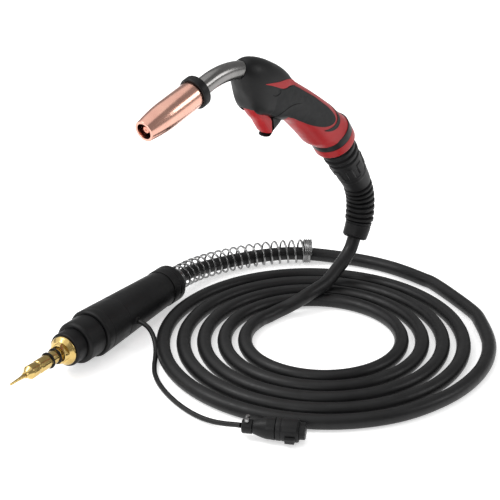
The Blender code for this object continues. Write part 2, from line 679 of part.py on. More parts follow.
def build_trigger():
    end = TRIGGER_LENGTH
    deep = TRIGGER_DEPTH
    front = [(-4.0, -1.0), (-2.6, -2.2), (0.8, -3.6), (4.2, -5.2), (5.0, -7.2), (13.0, -7.0), (22.0, -5.0),
             (30.0, -4.6), (end - 4.0, -4.0), (end - 1.0, -2.6), (end, -1.0)]
    back = [(end - 1.0, 0.6), (end - 4.4, deep - 3.0), (31.0, deep), (PLUNGER_REACH - 6.0, deep),
            (8.0, 4.8), (0.0, 4.4), (-3.6, 2.6)]
    rings = []
    for y in (-1.0, -0.8, -0.4, 0.4, 0.8, 1.0):
        set_back = TRIGGER_CROWN * (1.0 - math.sqrt(1.0 - 0.9 * y * y))
        rings.append([lever_point(a, b + set_back, y * TRIGGER_HALF_WIDTH) for a, b in front]
                     + [lever_point(a, b, y * TRIGGER_HALF_WIDTH) for a, b in back])
    trigger = loft("trigger", rings, "red_plastic")
    cut(trigger, pin_solid("trigger_hole", TRIGGER_PIN_RADIUS + 0.1, 20.0))
    cut(trigger, box_between("spring_notch", (-8.0, -3.6), (4.6, 9.0), 3.4, "steel"))
    pin_solid("trigger_pin", TRIGGER_PIN_RADIUS, 12.8)
    points = []
    turns, per_turn = 3, 9
    for i in range(turns * per_turn + 1):
        angle = 2 * math.pi * i / per_turn
        across = -2.4 + 4.8 * i / (turns * per_turn)
        points.append(Vector((TRIGGER_PIN[0] + 2.4 * math.cos(angle), across,
                              TRIGGER_PIN[1] + 2.4 * math.sin(angle))))
    curve_tube("trigger_spring", points, 0.4, "spring_steel", 1)
    switch = switch_solid("micro_switch")
    tip, tail = lever_point(PLUNGER_REACH, TRIGGER_DEPTH + GAP), lever_point(PLUNGER_REACH, SWITCH_STANDOFF + 3.0)
    rear = (tail - tip).normalized()
    length = (tail - tip).length
    rod = [(0.0, 0.0), (0.0, PLUNGER_RADIUS), (length, PLUNGER_RADIUS), (length, 0.0)]
    turned("switch_plunger", rod, tip, rear, "white_plastic", 12)
    well = [(0.0, 0.0), (0.0, PLUNGER_RADIUS + 0.2), (length + 4.0, PLUNGER_RADIUS + 0.2), (length + 4.0, 0.0)]
    cut(switch, turned("plunger_well", well, tip, rear, "steel", 8))


# ---- ball joint and bend relief ------------------------------------------------------------------
def sphere_zone(radius, start, end, steps):
    """Distances and radii along a sphere, measured from its centre."""
    first, last = math.acos(start / radius), math.acos(end / radius)
    zone = []
    for i in range(steps + 1):
        angle = first + (last - first) * i / steps
        zone.append((radius * math.cos(angle), radius * math.sin(angle)))
    return zone


def build_ball():
    centre, out = rim_axis()
    ball = centre - out * BALL_INSET
    seat_inner = BALL_RADIUS + GAP
    friction_inner = seat_inner + LINER_WALL + GAP
    rear_edge = 7.0
    outline = sphere_zone(BALL_RADIUS, -11.0, rear_edge, 5) + [(rear_edge, BALL_BORE), (-11.0, BALL_BORE)]
    turned("swivel_ball", outline, ball, out, "black_plastic", 20)
    for name, inner, start, end in (("seat_liner", seat_inner, -11.0, 1.2),
                                    ("friction_liner", friction_inner, -9.0, 0.8)):
        outer_zone = sphere_zone(inner + LINER_WALL, start, end, 3)
        inner_zone = sphere_zone(inner, start, end, 3)
        turned(name, outer_zone + inner_zone[::-1], ball, out, "white_plastic", 20)
    collar_end = SLEEVE_SPAN[0] + BALL_INSET - 2 * GAP
    collar = [(rear_edge + GAP, COLLAR_RADIUS - 1.4), (rear_edge + 1.6, COLLAR_RADIUS),
              (13.0, COLLAR_RADIUS), (14.0, COLLAR_RADIUS - 1.2), (15.6, COLLAR_RADIUS - 1.2),
              (16.4, COLLAR_RADIUS + 0.4), (collar_end - 1.6, COLLAR_RADIUS + 0.4),
              (collar_end, COLLAR_RADIUS - 1.0), (collar_end, BALL_BORE), (rear_edge + GAP, BALL_BORE)]
    turned("knuckle_collar", collar, ball, out, "rubber", 20)


def bend_line(spans, step):
    """Points and directions behind the rim between two distances along the bend."""
    route = [(RIM_CENTRE[0], 0.0, RIM_CENTRE[1])] + [(x, 0.0, z) for x, z in BEND_POINTS]
    fine = smooth_points(route, 0.5)
    dirs = tangents(fine)
    span = (len(fine) - 1) * (sum((q - p).length for p, q in zip(fine, fine[1:])) / (len(fine) - 1))
    count = max(1, round((spans[1] - spans[0]) / step))
    chosen = []
    for i in range(count + 1):
        place = spans[0] + (spans[1] - spans[0]) * i / count
        index = min(len(fine) - 1, round(place / span * (len(fine) - 1)))
        chosen.append((fine[index], dirs[index]))
    return chosen


def build_bend_relief():
    line = bend_line(SLEEVE_SPAN, 11.0)
    stations = []
    for i, (p, d) in enumerate(line):
        share = i / (len(line) - 1)
        stations.append((p, d, SLEEVE_RADII[0] + (SLEEVE_RADII[1] - SLEEVE_RADII[0]) * share))
    plane_tube("knuckle_sleeve", stations, "rubber", BOOT_BORE)
    ribs = []
    for i, (p, d) in enumerate(bend_line(BOOT_SPAN, (BOOT_SPAN[1] - BOOT_SPAN[0]) / (2 * BOOT_RIBS))):
        ribs.append((p, d, BOOT_RIB_RADIUS if i % 2 else BOOT_VALLEY_RADIUS))
    plane_tube("bend_relief", ribs, "rubber", BOOT_BORE, 14, 4)
    line = bend_line(CUFF_SPAN, 9.0)
    cuff = []
    for i, (p, d) in enumerate(line):
        share = i / (len(line) - 1)
        cuff.append((p, d, CUFF_RADII[0] + (CUFF_RADII[1] - CUFF_RADII[0]) * share))
    plane_tube("relief_cuff", cuff, "rubber", CABLE_RADIUS + 3 * GAP)
    inside = bend_line((24.0, CUFF_SPAN[1]), 15.0)
    plane_tube("cable_inside_relief", [(p, d, CABLE_RADIUS) for p, d in inside], "cable_rubber", 0.0, 12)


# ---- cable ---------------------------------------------------------------------------------------
def build_cable():
    curve_tube("cable_upper", smooth_points(UPPER_ROUTE, 2.2 * CABLE_RADIUS * 2), CABLE_RADIUS, "cable_rubber")
    curve_tube("cable_tail", smooth_points(TAIL_ROUTE, 2.2 * CABLE_RADIUS * 2), CABLE_RADIUS, "cable_rubber")
    top = 2 * CABLE_RADIUS
    edge = 3.0
    ring = [
        (0.0, COIL_INNER_RADIUS + edge), (0.0, COIL_OUTER_RADIUS - edge), (edge, COIL_OUTER_RADIUS),
        (top - edge, COIL_OUTER_RADIUS), (top, COIL_OUTER_RADIUS - edge), (top, COIL_INNER_RADIUS + edge),
        (top - edge, COIL_INNER_RADIUS), (edge, COIL_INNER_RADIUS),
    ]
    turned("cable_coil", ring, (COIL_CENTRE[0], COIL_CENTRE[1], FLOOR), (0, 0, 1), "cable_rubber", 44)


def build_spring():
    points = smooth_points(SPRING_ROUTE, 17.0)
    start = Vector(CONNECTOR_DIRECTION) * -GAP
    points[0] = Vector(CONNECTOR_REAR) + start
    outer, inner = [], []
    for p, d in zip(points, tangents(points)):
        outer.append(circle(p, d, SPRING_RADIUS, 16))
        inner.append(circle(p, d, SPRING_RADIUS - SPRING_WALL, 16))
    ring_loft("anti_kink_spring", outer, inner, "spring_steel")


# ---- rear connector ------------------------------------------------------------------------------
def on_connector(name, profile, kind, segments=20):
    return turned(name, profile, CONNECTOR_REAR, CONNECTOR_DIRECTION, kind, segments)


def build_connector():
    bore = 14.6
    on_connector("connector_rear_collar", [
        (0.0, 14.0), (0.0, 17.6), (1.2, 18.7), (REAR_COLLAR_LENGTH, 18.7), (REAR_COLLAR_LENGTH, bore),
        (2.0, bore), (2.0, 14.0)], "rubber")
    start = REAR_COLLAR_LENGTH + GAP
    on_connector("connector_housing", [
        (start, HOUSING_RADII[0]), (HOUSING_END - 4.0, HOUSING_RADII[1]), (HOUSING_END, HOUSING_RADII[1] - 0.4),
        (HOUSING_END, bore), (start, bore)], "rubber")
    start = HOUSING_END + GAP
    on_connector("connector_front_collar", [
        (start, 19.4), (start + 3.0, 20.0), (FRONT_COLLAR_END - 2.0, 20.0), (FRONT_COLLAR_END, 18.4),
        (FRONT_COLLAR_END, bore), (start, bore)], "rubber")
    start = FRONT_COLLAR_END + GAP
    on_connector("connector_nose_ring", [
        (start, 15.8), (NOSE_RING_END - 0.8, 15.8), (NOSE_RING_END, 15.0), (NOSE_RING_END, 9.6),
        (start, 9.6)], "rubber")
    on_connector("connector_core", [
        (24.0, 0.0), (24.0, 9.0), (50.0, 9.0), (54.0, bore - GAP), (FRONT_COLLAR_END - 4.0, bore - GAP),
        (FRONT_COLLAR_END - 4.0, 9.3), (NOSE_RING_END - 1.0, 9.3), (NOSE_RING_END - 1.0, 0.0)], "brass", 14)
    start = NOSE_RING_END + GAP
    flange = on_connector("pin_flange", [
        (start, PIN_RADIUS + GAP), (start, PIN_FLANGE_RADIUS - 0.5), (start + 1.0, PIN_FLANGE_RADIUS),
        (start + 2.6, PIN_FLANGE_RADIUS - 0.6), (start + 5.2, 10.2), (start + 10.6, 9.2),
        (start + 10.6, PIN_RADIUS + GAP)], "brass")
    cut_flats(flange, start)
    pin = [(start - 0.6, 0.0), (start - 0.6, PIN_RADIUS)]
    for place in ORING_PLACES:
        pin += [(place - 1.3, PIN_RADIUS), (place - 1.3, 5.4), (place + 1.3, 5.4), (place + 1.3, PIN_RADIUS)]
    pin += [(214.0, PIN_RADIUS), (215.0, 5.6), (217.6, 5.6), (218.4, PIN_RADIUS), (226.0, PIN_RADIUS),
            (PIN_END - 2.0, 3.2), (PIN_END, 3.0), (PIN_END, 0.0)]
    on_connector("power_pin", pin, "brass", 14)
    for number, place in enumerate(ORING_PLACES):
        seal = []
        for i in range(6):
            angle = 2 * math.pi * i / 6
            seal.append((place + 1.0 * math.cos(angle), 6.75 + 1.0 * math.sin(angle)))
        on_connector("pin_oring_%d" % (number + 1), seal, "rubber", 16)
    on_connector("wire_inlet", [
        (PIN_END + GAP, 0.0), (PIN_END + GAP, 2.2), (NEEDLE_END - 12.0, 1.5), (NEEDLE_END, 1.0),
        (NEEDLE_END, 0.0)], "brass", 12)
    build_grommet()


def cut_flats(flange, start):
    """Two pairs of spanner flats on the flange's neck."""
    along, side, up = frame_at(CONNECTOR_DIRECTION)
    for number in range(4):
        turn = math.radians(45 + 90 * number)
        out = math.cos(turn) * side + math.sin(turn) * up
        across = along.cross(out)
        middle = Vector(CONNECTOR_REAR) + along * (start + 8.4) + out * (8.3 + 4.0)
        corners = []
        for a in (-2.9, 2.9):
            corners.append([middle + along * a + across * b + out * c
                            for b, c in ((-9, -4), (9, -4), (9, 4), (-9, 4))])
        cut(flange, loft("flat_cutter_%d" % number, corners, "steel"))


def side_of_connector():
    """The horizontal direction out of the housing on the coil's side."""
    along = Vector(CONNECTOR_DIRECTION).normalized()
    return along.cross(Vector((0, 0, 1))).normalized() * -1.0


def build_grommet():
    along = Vector(CONNECTOR_DIRECTION).normalized()
    out = side_of_connector()
    share = (GROMMET_PLACE - REAR_COLLAR_LENGTH) / (HOUSING_END - REAR_COLLAR_LENGTH)
    wall = HOUSING_RADII[0] + (HOUSING_RADII[1] - HOUSING_RADII[0]) * share
    foot = Vector(CONNECTOR_REAR) + along * GROMMET_PLACE + out * (wall - 1.0)
    hole = [(-8.0, 0.0), (-8.0, 4.0 + GAP), (9.0, 4.0 + GAP), (9.0, 0.0)]
    cut(bpy.data.objects["connector_housing"], turned("grommet_hole", hole, foot, out, "steel", 10))
    ring = [(-1.5, 0.0), (-1.5, 4.0), (1.6, 4.0), (2.4, 3.2), (2.4, 0.0)]
    turned("lead_grommet", ring, foot, out, "rubber", 16)


# ---- control lead and plug -----------------------------------------------------------------------
def build_control_lead():
    curve_tube("control_lead", smooth_points(LEAD_ROUTE, 9.5), LEAD_RADIUS, "cable_rubber", 2)


def on_plug(name, profile, kind, segments=16):
    return turned(name, profile, PLUG_REAR, PLUG_DIRECTION, kind, segments)


def plug_point(along, across, up):
    """A point beside the plug's axis: across is towards the camera side of the floor."""
    forward, side, lift = frame_at(PLUG_DIRECTION)
    return Vector(PLUG_REAR) + forward * along + side * across + lift * up


def build_plug():
    on_plug("plug_clamp", [(0.0, 0.0), (0.0, 5.4), (1.5, 6.2), (9.0, 6.2), (9.0, 0.0)], "black_plastic")
    for number, across in enumerate((-1, 1)):
        ear = [(0.0, 0.0), (0.0, 1.9), (2.4, 1.9), (2.4, 0.0)]
        foot = plug_point(4.6, across * 2.6, 6.4)
        turned("plug_clamp_screw_%d" % (number + 1), ear, foot, (0, 0, 1), "steel", 8)
    on_plug("plug_backshell", [
        (9.3, 0.0), (9.3, 5.6), (21.0, 9.2), (28.5, 9.6), (28.5, 7.4), (30.8, 7.4), (30.8, 0.0)],
        "black_plastic")
    on_plug("plug_coupling_ring", [
        (29.0, 9.7), (47.0, PLUG_RADIUS), (48.5, 9.6), (48.5, 7.8), (29.0, 7.8)], "black_plastic", 20)
    insert = on_plug("plug_insert", [
        (31.1, 0.0), (31.1, 7.4), (53.0, 7.4), (53.8, 6.6), (53.8, 0.0)], "black_plastic")
    for number in range(4):
        turn = math.radians(45 + 90 * number)
        foot = plug_point(46.0, 3.6 * math.cos(turn), 3.6 * math.sin(turn))
        well = [(0.0, 0.0), (0.0, 1.1), (12.0, 1.1), (12.0, 0.0)]
        cut(insert, turned("contact_well_%d" % number, well, foot, PLUG_DIRECTION, "steel", 8))
    build_key_tab()


def build_key_tab():
    """The key tab on the coupling ring, with its foot just off the ring."""
    forward, side, lift = frame_at(PLUG_DIRECTION)
    turn = math.radians(TAB_ANGLE)
    out = side * math.cos(turn) - lift * math.sin(turn)
    across = forward.cross(out)
    rings = []
    for reach, grow in ((PLUG_RADIUS + GAP, 0.0), (13.0, -0.6)):
        middle = Vector(PLUG_REAR) + out * reach
        rings.append([middle + forward * a + across * b
                      for a, b in ((37.0 - grow, -2.6), (46.0 + grow, -2.6), (46.0 + grow, 2.6),
                                   (37.0 - grow, 2.6))])
    loft("plug_key_tab", rings, "black_plastic")


def main():
    for obj in list(bpy.data.objects):
        bpy.data.objects.remove(obj, do_unlink=True)
    build_neck()
    build_nozzle()
    build_hood()
    build_grip()
    build_pads()
    build_rear_rings()
    build_screws()
    build_core()
    build_trigger()
    build_ball()
    build_bend_relief()
    build_cable()
    build_spring()
    build_connector()
    build_control_lead()
    build_plug()


main()
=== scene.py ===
"""MIG welding torch: looks for the CAD frame. Lengths in the tables are millimetres in the part's frame."""
import json
import math

import bmesh
import bpy
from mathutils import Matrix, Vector


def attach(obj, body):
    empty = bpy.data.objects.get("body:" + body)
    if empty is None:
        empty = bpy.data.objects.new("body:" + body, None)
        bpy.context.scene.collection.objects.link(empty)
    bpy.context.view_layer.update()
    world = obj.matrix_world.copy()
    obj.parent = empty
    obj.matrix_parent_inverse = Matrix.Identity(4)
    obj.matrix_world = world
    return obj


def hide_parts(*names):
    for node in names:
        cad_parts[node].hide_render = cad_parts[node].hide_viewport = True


MM = 0.001
FLOOR = -212.0                # height of the floor
GAP = 0.3                     # clearance between neighbouring pieces

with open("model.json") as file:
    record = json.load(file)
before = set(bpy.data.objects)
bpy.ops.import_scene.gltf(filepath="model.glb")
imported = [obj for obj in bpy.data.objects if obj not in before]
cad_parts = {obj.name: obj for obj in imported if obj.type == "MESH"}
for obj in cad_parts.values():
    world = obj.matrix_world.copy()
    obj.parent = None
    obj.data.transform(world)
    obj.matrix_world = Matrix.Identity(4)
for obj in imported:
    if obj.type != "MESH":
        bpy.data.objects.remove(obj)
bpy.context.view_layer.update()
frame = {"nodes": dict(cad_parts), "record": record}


# ---- camera --------------------------------------------------------------------------------------
def make_camera():
    data = bpy.data.cameras.new("camera")
    data.lens = 105.71
    data.sensor_width = 36.0
    data.clip_start = 0.05
    data.clip_end = 30.0
    data.dof.use_dof = False
    cam = bpy.data.objects.new("camera", data)
    cam.location = (-1.0041, -0.7826, 0.4379)
    cam.rotation_euler = (math.radians(65.58), 0.0, math.radians(-50.0))
    bpy.context.scene.collection.objects.link(cam)
    bpy.context.scene.camera = cam


make_camera()


# ---- materials -----------------------------------------------------------------------------------
class Nodes:
    """A small helper that adds nodes to one material."""

    def __init__(self, name):
        self.material = bpy.data.materials.new(name)
        self.material.use_nodes = True
        self.tree = self.material.node_tree
        self.shader = self.tree.nodes["Principled BSDF"]

    def add(self, kind, **values):
        node = self.tree.nodes.new(kind)
        for key, value in values.items():
            setattr(node, key, value)
        return node

    def link(self, a, b):
        self.tree.links.new(a, b)

    def noise(self, scale, detail=4.0, rough=0.5, coord="Object", stretch=None):
        where = self.add("ShaderNodeTexCoord").outputs[coord]
        if stretch:
            mapping = self.add("ShaderNodeMapping")
            mapping.inputs["Scale"].default_value = stretch
            self.link(where, mapping.inputs["Vector"])
            where = mapping.outputs["Vector"]
        node = self.add("ShaderNodeTexNoise")
        node.inputs["Scale"].default_value = scale
        node.inputs["Detail"].default_value = detail
        node.inputs["Roughness"].default_value = rough
        self.link(where, node.inputs["Vector"])
        return node.outputs["Fac"]

    def remap(self, value, low, high, to_low, to_high):
        node = self.add("ShaderNodeMapRange")
        for key, number in (("From Min", low), ("From Max", high), ("To Min", to_low), ("To Max", to_high)):
            node.inputs[key].default_value = number
        self.link(value, node.inputs["Value"])
        return node.outputs["Result"]

    def mix(self, factor, first, second):
        node = self.add("ShaderNodeMix", data_type="RGBA")
        node.inputs[6].default_value = (*first, 1.0)
        node.inputs[7].default_value = (*second, 1.0)
        self.link(factor, node.inputs[0])
        return node.outputs[2]

    def bump(self, height, strength, distance):
        node = self.add("ShaderNodeBump")
        node.inputs["Strength"].default_value = strength
        node.inputs["Distance"].default_value = distance
        self.link(height, node.inputs["Height"])
        if self.shader.inputs["Normal"].is_linked:
            self.link(self.shader.inputs["Normal"].links[0].from_socket, node.inputs["Normal"])
        self.link(node.outputs["Normal"], self.shader.inputs["Normal"])

    def set(self, **values):
        for key, value in values.items():
            self.shader.inputs[key.replace("_", " ")].default_value = value


def metal(name, dark, light, rough, stretch=None, scale=900.0, bump=0.15):
    m = Nodes(name)
    m.set(Metallic=1.0)
    cloud = m.noise(70.0, 5.0, 0.6)
    m.link(m.mix(m.remap(cloud, 0.35, 0.65, 0.0, 1.0), dark, light), m.shader.inputs["Base Color"])
    grain = m.noise(scale, 3.0, 0.5, stretch=stretch)
    m.link(m.remap(grain, 0.3, 0.7, rough[0], rough[1]), m.shader.inputs["Roughness"])
    m.bump(grain, bump, 0.00008)
    return m.material


def plastic(name, dark, light, rough, grain_scale=2600.0, grain=0.25, gloss=0.3):
    m = Nodes(name)
    m.set(Specular_IOR_Level=gloss)
    cloud = m.noise(45.0, 4.0, 0.6)
    m.link(m.mix(m.remap(cloud, 0.35, 0.65, 0.0, 1.0), dark, light), m.shader.inputs["Base Color"])
    patches = m.noise(160.0, 4.0, 0.6)
    m.link(m.remap(patches, 0.3, 0.7, rough[0], rough[1]), m.shader.inputs["Roughness"])
    fine = m.noise(grain_scale, 2.0, 0.5)
    m.bump(fine, grain, 0.00006)
    return m.material


def nozzle_metal(name, dark, light):
    """Turned copper: fine rings across the axis."""
    m = Nodes(name)
    m.set(Metallic=1.0)
    where = m.add("ShaderNodeTexCoord").outputs["Object"]
    turn = m.add("ShaderNodeVectorRotate", rotation_type="Y_AXIS")
    turn.inputs["Angle"].default_value = math.radians(-15.6)
    m.link(where, turn.inputs["Vector"])
    wave = m.add("ShaderNodeTexWave", wave_type="BANDS", bands_direction="X")
    wave.inputs["Scale"].default_value = 700.0
    wave.inputs["Distortion"].default_value = 1.5
    wave.inputs["Detail"].default_value = 2.0
    m.link(turn.outputs["Vector"], wave.inputs["Vector"])
    cloud = m.noise(60.0, 4.0, 0.6)
    m.link(m.mix(m.remap(cloud, 0.35, 0.65, 0.0, 1.0), dark, light), m.shader.inputs["Base Color"])
    m.link(m.remap(wave.outputs["Fac"], 0.0, 1.0, 0.16, 0.26), m.shader.inputs["Roughness"])
    m.bump(wave.outputs["Fac"], 0.05, 0.00003)
    return m.material


COPPER = nozzle_metal("nozzle_copper", (0.66, 0.35, 0.28), (0.74, 0.42, 0.33))
TIP_COPPER = metal("tip_copper", (0.66, 0.30, 0.22), (0.75, 0.36, 0.27), (0.3, 0.42))
BRASS = metal("turned_brass", (0.54, 0.38, 0.13), (0.64, 0.47, 0.18), (0.16, 0.26), bump=0.06)
NECK_STEEL = metal("neck_steel", (0.19, 0.187, 0.183), (0.25, 0.243, 0.238), (0.22, 0.27), bump=0.02)
SPRING_STEEL = metal("spring_steel", (0.17, 0.17, 0.17), (0.26, 0.26, 0.26), (0.16, 0.28), bump=0.05)
SCREW_STEEL = metal("screw_steel", (0.22, 0.22, 0.22), (0.34, 0.34, 0.34), (0.25, 0.4), bump=0.05)
RED = plastic("red_plastic", (0.330, 0.007, 0.010), (0.395, 0.009, 0.012), (0.34, 0.46), grain=0.18,
              gloss=0.32)
BLACK = plastic("black_plastic", (0.0035, 0.0035, 0.0038), (0.0065, 0.0065, 0.007), (0.36, 0.48), grain=0.2,
                gloss=0.22)
SOFT = plastic("soft_grip", (0.0095, 0.0098, 0.0104), (0.0135, 0.0138, 0.0145), (0.52, 0.66), grain=0.3,
               gloss=0.22)
# Painted shade: a near-black look for the thin ribbons that stand in for the shade in the pad's groove and
# along the boss edge.
CREASE_SHADE = plastic("painted_crease_shade", (0.0012, 0.0012, 0.0013), (0.002, 0.002, 0.0022), (0.5, 0.6), gloss=0.08)
RUBBER = plastic("moulded_rubber", (0.0035, 0.0035, 0.0038), (0.006, 0.006, 0.0065), (0.42, 0.55), grain=0.2,
                 gloss=0.22)
CABLE = plastic("cable_jacket", (0.0045, 0.0045, 0.0048), (0.0085, 0.0085, 0.009), (0.36, 0.48), 1800.0, 0.2,
                gloss=0.28)
WHITE = plastic("low_friction_plastic", (0.62, 0.62, 0.58), (0.72, 0.72, 0.68), (0.4, 0.5))
SLOT_LOOK = {
    "copper": COPPER, "brass": BRASS, "steel": NECK_STEEL, "spring_steel": SPRING_STEEL,
    "red_plastic": RED, "black_plastic": BLACK, "soft_grip": SOFT, "rubber": RUBBER,
    "cable_rubber": CABLE, "white_plastic": WHITE,
}


# ---- geometry helpers ----------------------------------------------------------------------------
def mesh_object(name, verts, faces, look, angle=38.0):
    mesh = bpy.data.meshes.new(name)
    mesh.from_pydata([Vector(v) * MM for v in verts], [], faces)
    work = bmesh.new()
    work.from_mesh(mesh)
    bmesh.ops.remove_doubles(work, verts=work.verts, dist=1e-7)
    bmesh.ops.recalc_face_normals(work, faces=work.faces)
    work.to_mesh(mesh)
    work.free()
    mesh.shade_smooth()
    mesh.set_sharp_from_angle(angle=math.radians(angle))
    obj = bpy.data.objects.new(name, mesh)
    obj.data.materials.append(look)
    bpy.context.scene.collection.objects.link(obj)
    return obj


def between(a, b, c, d, t):
    """The value at share t between b and c on a smooth line through a, b, c and d."""
    return 0.5 * (2 * b + (c - a) * t + (2 * a - 5 * b + 4 * c - d) * t * t
                  + (3 * b - a - 3 * c + d) * t ** 3)


def smooth_points(route, step):
    """Evenly spaced points on a smooth line through the route."""
    pts = [Vector(p) for p in route]
    ends = [2 * pts[0] - pts[1]] + pts + [2 * pts[-1] - pts[-2]]
    dense = []
    for k in range(1, len(ends) - 2):
        a, b, c, d = ends[k - 1:k + 3]
        for i in range(16):
            dense.append(between(a, b, c, d, i / 16))
    dense.append(pts[-1])
    length = sum((q - p).length for p, q in zip(dense, dense[1:]))
    count = max(2, round(length / step))
    result, goal, run = [dense[0]], length / count, 0.0
    for p, q in zip(dense, dense[1:]):
        piece = (q - p).length
        while run + piece >= goal * len(result) and len(result) < count:
            result.append(p + (q - p) * ((goal * len(result) - run) / piece))
        run += piece
    result.append(dense[-1])
    return result


def length_of(points):
    return sum((q - p).length for p, q in zip(points, points[1:]))


def tangents(points):
    last = len(points) - 1
    return [(points[min(i + 1, last)] - points[max(i - 1, 0)]).normalized() for i in range(last + 1)]


def curve_tube(name, points, radius, look, resolution=6):
    data = bpy.data.curves.new(name, "CURVE")
    data.dimensions = "3D"
    data.bevel_depth = radius * MM
    data.bevel_resolution = resolution
    data.use_fill_caps = True
    spline = data.splines.new("POLY")
    spline.points.add(len(points) - 1)
    for slot, p in zip(spline.points, points):
        slot.co = (p[0] * MM, p[1] * MM, p[2] * MM, 1.0)
    obj = bpy.data.objects.new(name, data)
    data.materials.append(look)
    bpy.context.scene.collection.objects.link(obj)
    return obj


# ---- cables --------------------------------------------------------------------------------------
UPPER_ROUTE = [
    (89.3, 0.0, -159.9), (85.4, 0.0, -167.0), (79.6, 0.0, -172.7), (71.4, 0.0, -178.2), (62.0, 0.0, -183.0),
    (51.5, -0.4, -188.0), (41.0, -0.7, -191.0), (31.5, -0.3, -192.2), (24.2, 0.6, -193.3),
    (16.0, 2.0, -195.0), (8.7, 4.2, -197.5), (1.6, 7.8, -200.6), (-5.0, 11.6, -203.4),
    (-14.5, 14.4, -204.9), (-26.5, 15.2, -205.2),
]
COIL_START = 143.0
COIL_END = 1742.0
DRIFT = [(1760.0, 152.9), (1778.0, 155.8), (1795.0, 158.4), (1812.0, 160.2), (1822.0, 162.0)]
TAIL_ROUTE = [
    (135.5, -71.0, -205.2), (139.0, -52.0, -205.2), (141.0, -33.0, -205.2),
    (141.2, -14.0, -205.2), (139.0, 5.0, -205.2), (134.5, 24.0, -205.2), (127.5, 42.0, -205.0),
    (118.0, 59.0, -204.0), (106.9, 73.5, -202.6), (93.5, 87.0, -201.6), (78.6, 99.3, -201.5),
    (61.0, 110.0, -201.5), (41.8, 118.8, -201.2), (21.0, 125.0, -200.2), (1.3, 127.4, -198.2),
    (-18.0, 126.4, -195.6), (-37.6, 123.3, -193.7), (-51.8, 120.7, -193.2),
]
SPRING_ROUTE = [
    (-50.0, 121.0, -193.2), (-37.6, 123.3, -193.7), (-18.0, 126.4, -195.2), (1.3, 127.4, -197.0),
    (21.0, 125.0, -198.4), (41.8, 118.8, -199.3), (61.0, 110.0, -199.4), (78.6, 99.3, -199.4),
    (93.5, 87.0, -199.4), (106.9, 73.5, -199.4), (111.6, 67.9, -199.4),
]
LEAD_ROUTE = [
    (-134.6, 82.0, -190.4), (-134.0, 77.0, -191.2), (-133.9, 72.0, -192.9), (-134.7, 67.0, -195.7),
    (-136.8, 61.8, -199.3), (-140.5, 56.4, -203.0), (-146.0, 50.8, -206.2), (-153.0, 44.9, -208.4),
    (-161.5, 38.0, -209.5), (-172.2, 27.4, -209.6), (-182.4, 13.2, -209.6), (-191.0, -3.6, -209.6),
    (-197.6, -21.5, -209.6), (-201.8, -39.0, -209.6), (-203.8, -55.5, -209.1), (-204.0, -70.0, -207.6),
    (-203.1, -83.4, -205.0), (-202.0, -94.5, -202.2), (-201.6, -99.2, -201.2),
]
COIL_MIDDLE = (-31.8, -50.0)
CABLE_RADIUS = 6.75
LEAD_RADIUS = 2.3


def coil_point(turn, radius):
    angle = math.radians(turn - 50.0)
    return (COIL_MIDDLE[0] + radius * math.cos(angle), COIL_MIDDLE[1] + radius * math.sin(angle), -205.2)


def power_cable_points():
    route = list(UPPER_ROUTE)
    steps = 108
    for i in range(steps + 1):
        turn = COIL_START + (COIL_END - COIL_START) * i / steps
        route.append(coil_point(turn, 68.33 + 19.10 * (turn - 180.0) / 360.0))
    route += [coil_point(turn, radius) for turn, radius in DRIFT]
    return smooth_points(route + TAIL_ROUTE, 4.0)


def make_power_cable():
    points = power_cable_points()
    cable = curve_tube("power_cable", points, CABLE_RADIUS, CABLE, 7)
    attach(cable, "cable_set")
    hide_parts("cable_upper", "cable_coil", "cable_tail")


def make_control_lead():
    points = smooth_points(LEAD_ROUTE, 3.0)
    lead = curve_tube("lead_cord", points, LEAD_RADIUS, CABLE, 5)
    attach(lead, "cable_set")
    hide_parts("control_lead")


# ---- sizes of the head, handle, relief and connector ---------------------------------------------
GRIP_TILT = 35.0
NOZZLE_DIP = 15.6             # nozzle axis below the horizontal, degrees
NOZZLE_RADIUS = 12.0
NOZZLE_MOUTH_RADIUS = 9.2
NOZZLE_BORE_RADIUS = 7.0
NOZZLE_BODY_BORE = 10.4
NOZZLE_SEAT_RADIUS = 11.4     # the nozzle's rear end, inside the ring
NOZZLE_LENGTH = 61.0          # copper that shows, mouth to insulating ring
NOZZLE_TAPER = 27.0           # length of the tapered mouth
RING_RADIUS = 14.2
RING_WIDTH = 8.0
TIP_RADIUS = 3.2
TIP_BORE = 0.6
TIP_RECESS = 2.5
DIFFUSER_START = 33.0
NECK_RADIUS = 8.0
NECK_WALL = 1.4
NECK_BEND_RADIUS = 85.0
NECK_APEX = (-103.0, 61.0)    # highest point of the neck's centre line, X and Z
NECK_FRONT_STRAIGHT = 12.6
NECK_REAR_STRAIGHT = 34.0

RIM_CENTRE = (54.0, -45.2)
RIM_TILT = 54.0
RIM_RADIUS = 20.8
RIM_WIDTH = 7.0
BAND_RADIUS = 20.5
BAND_WIDTH = 9.0
RIM_BORE = 19.3

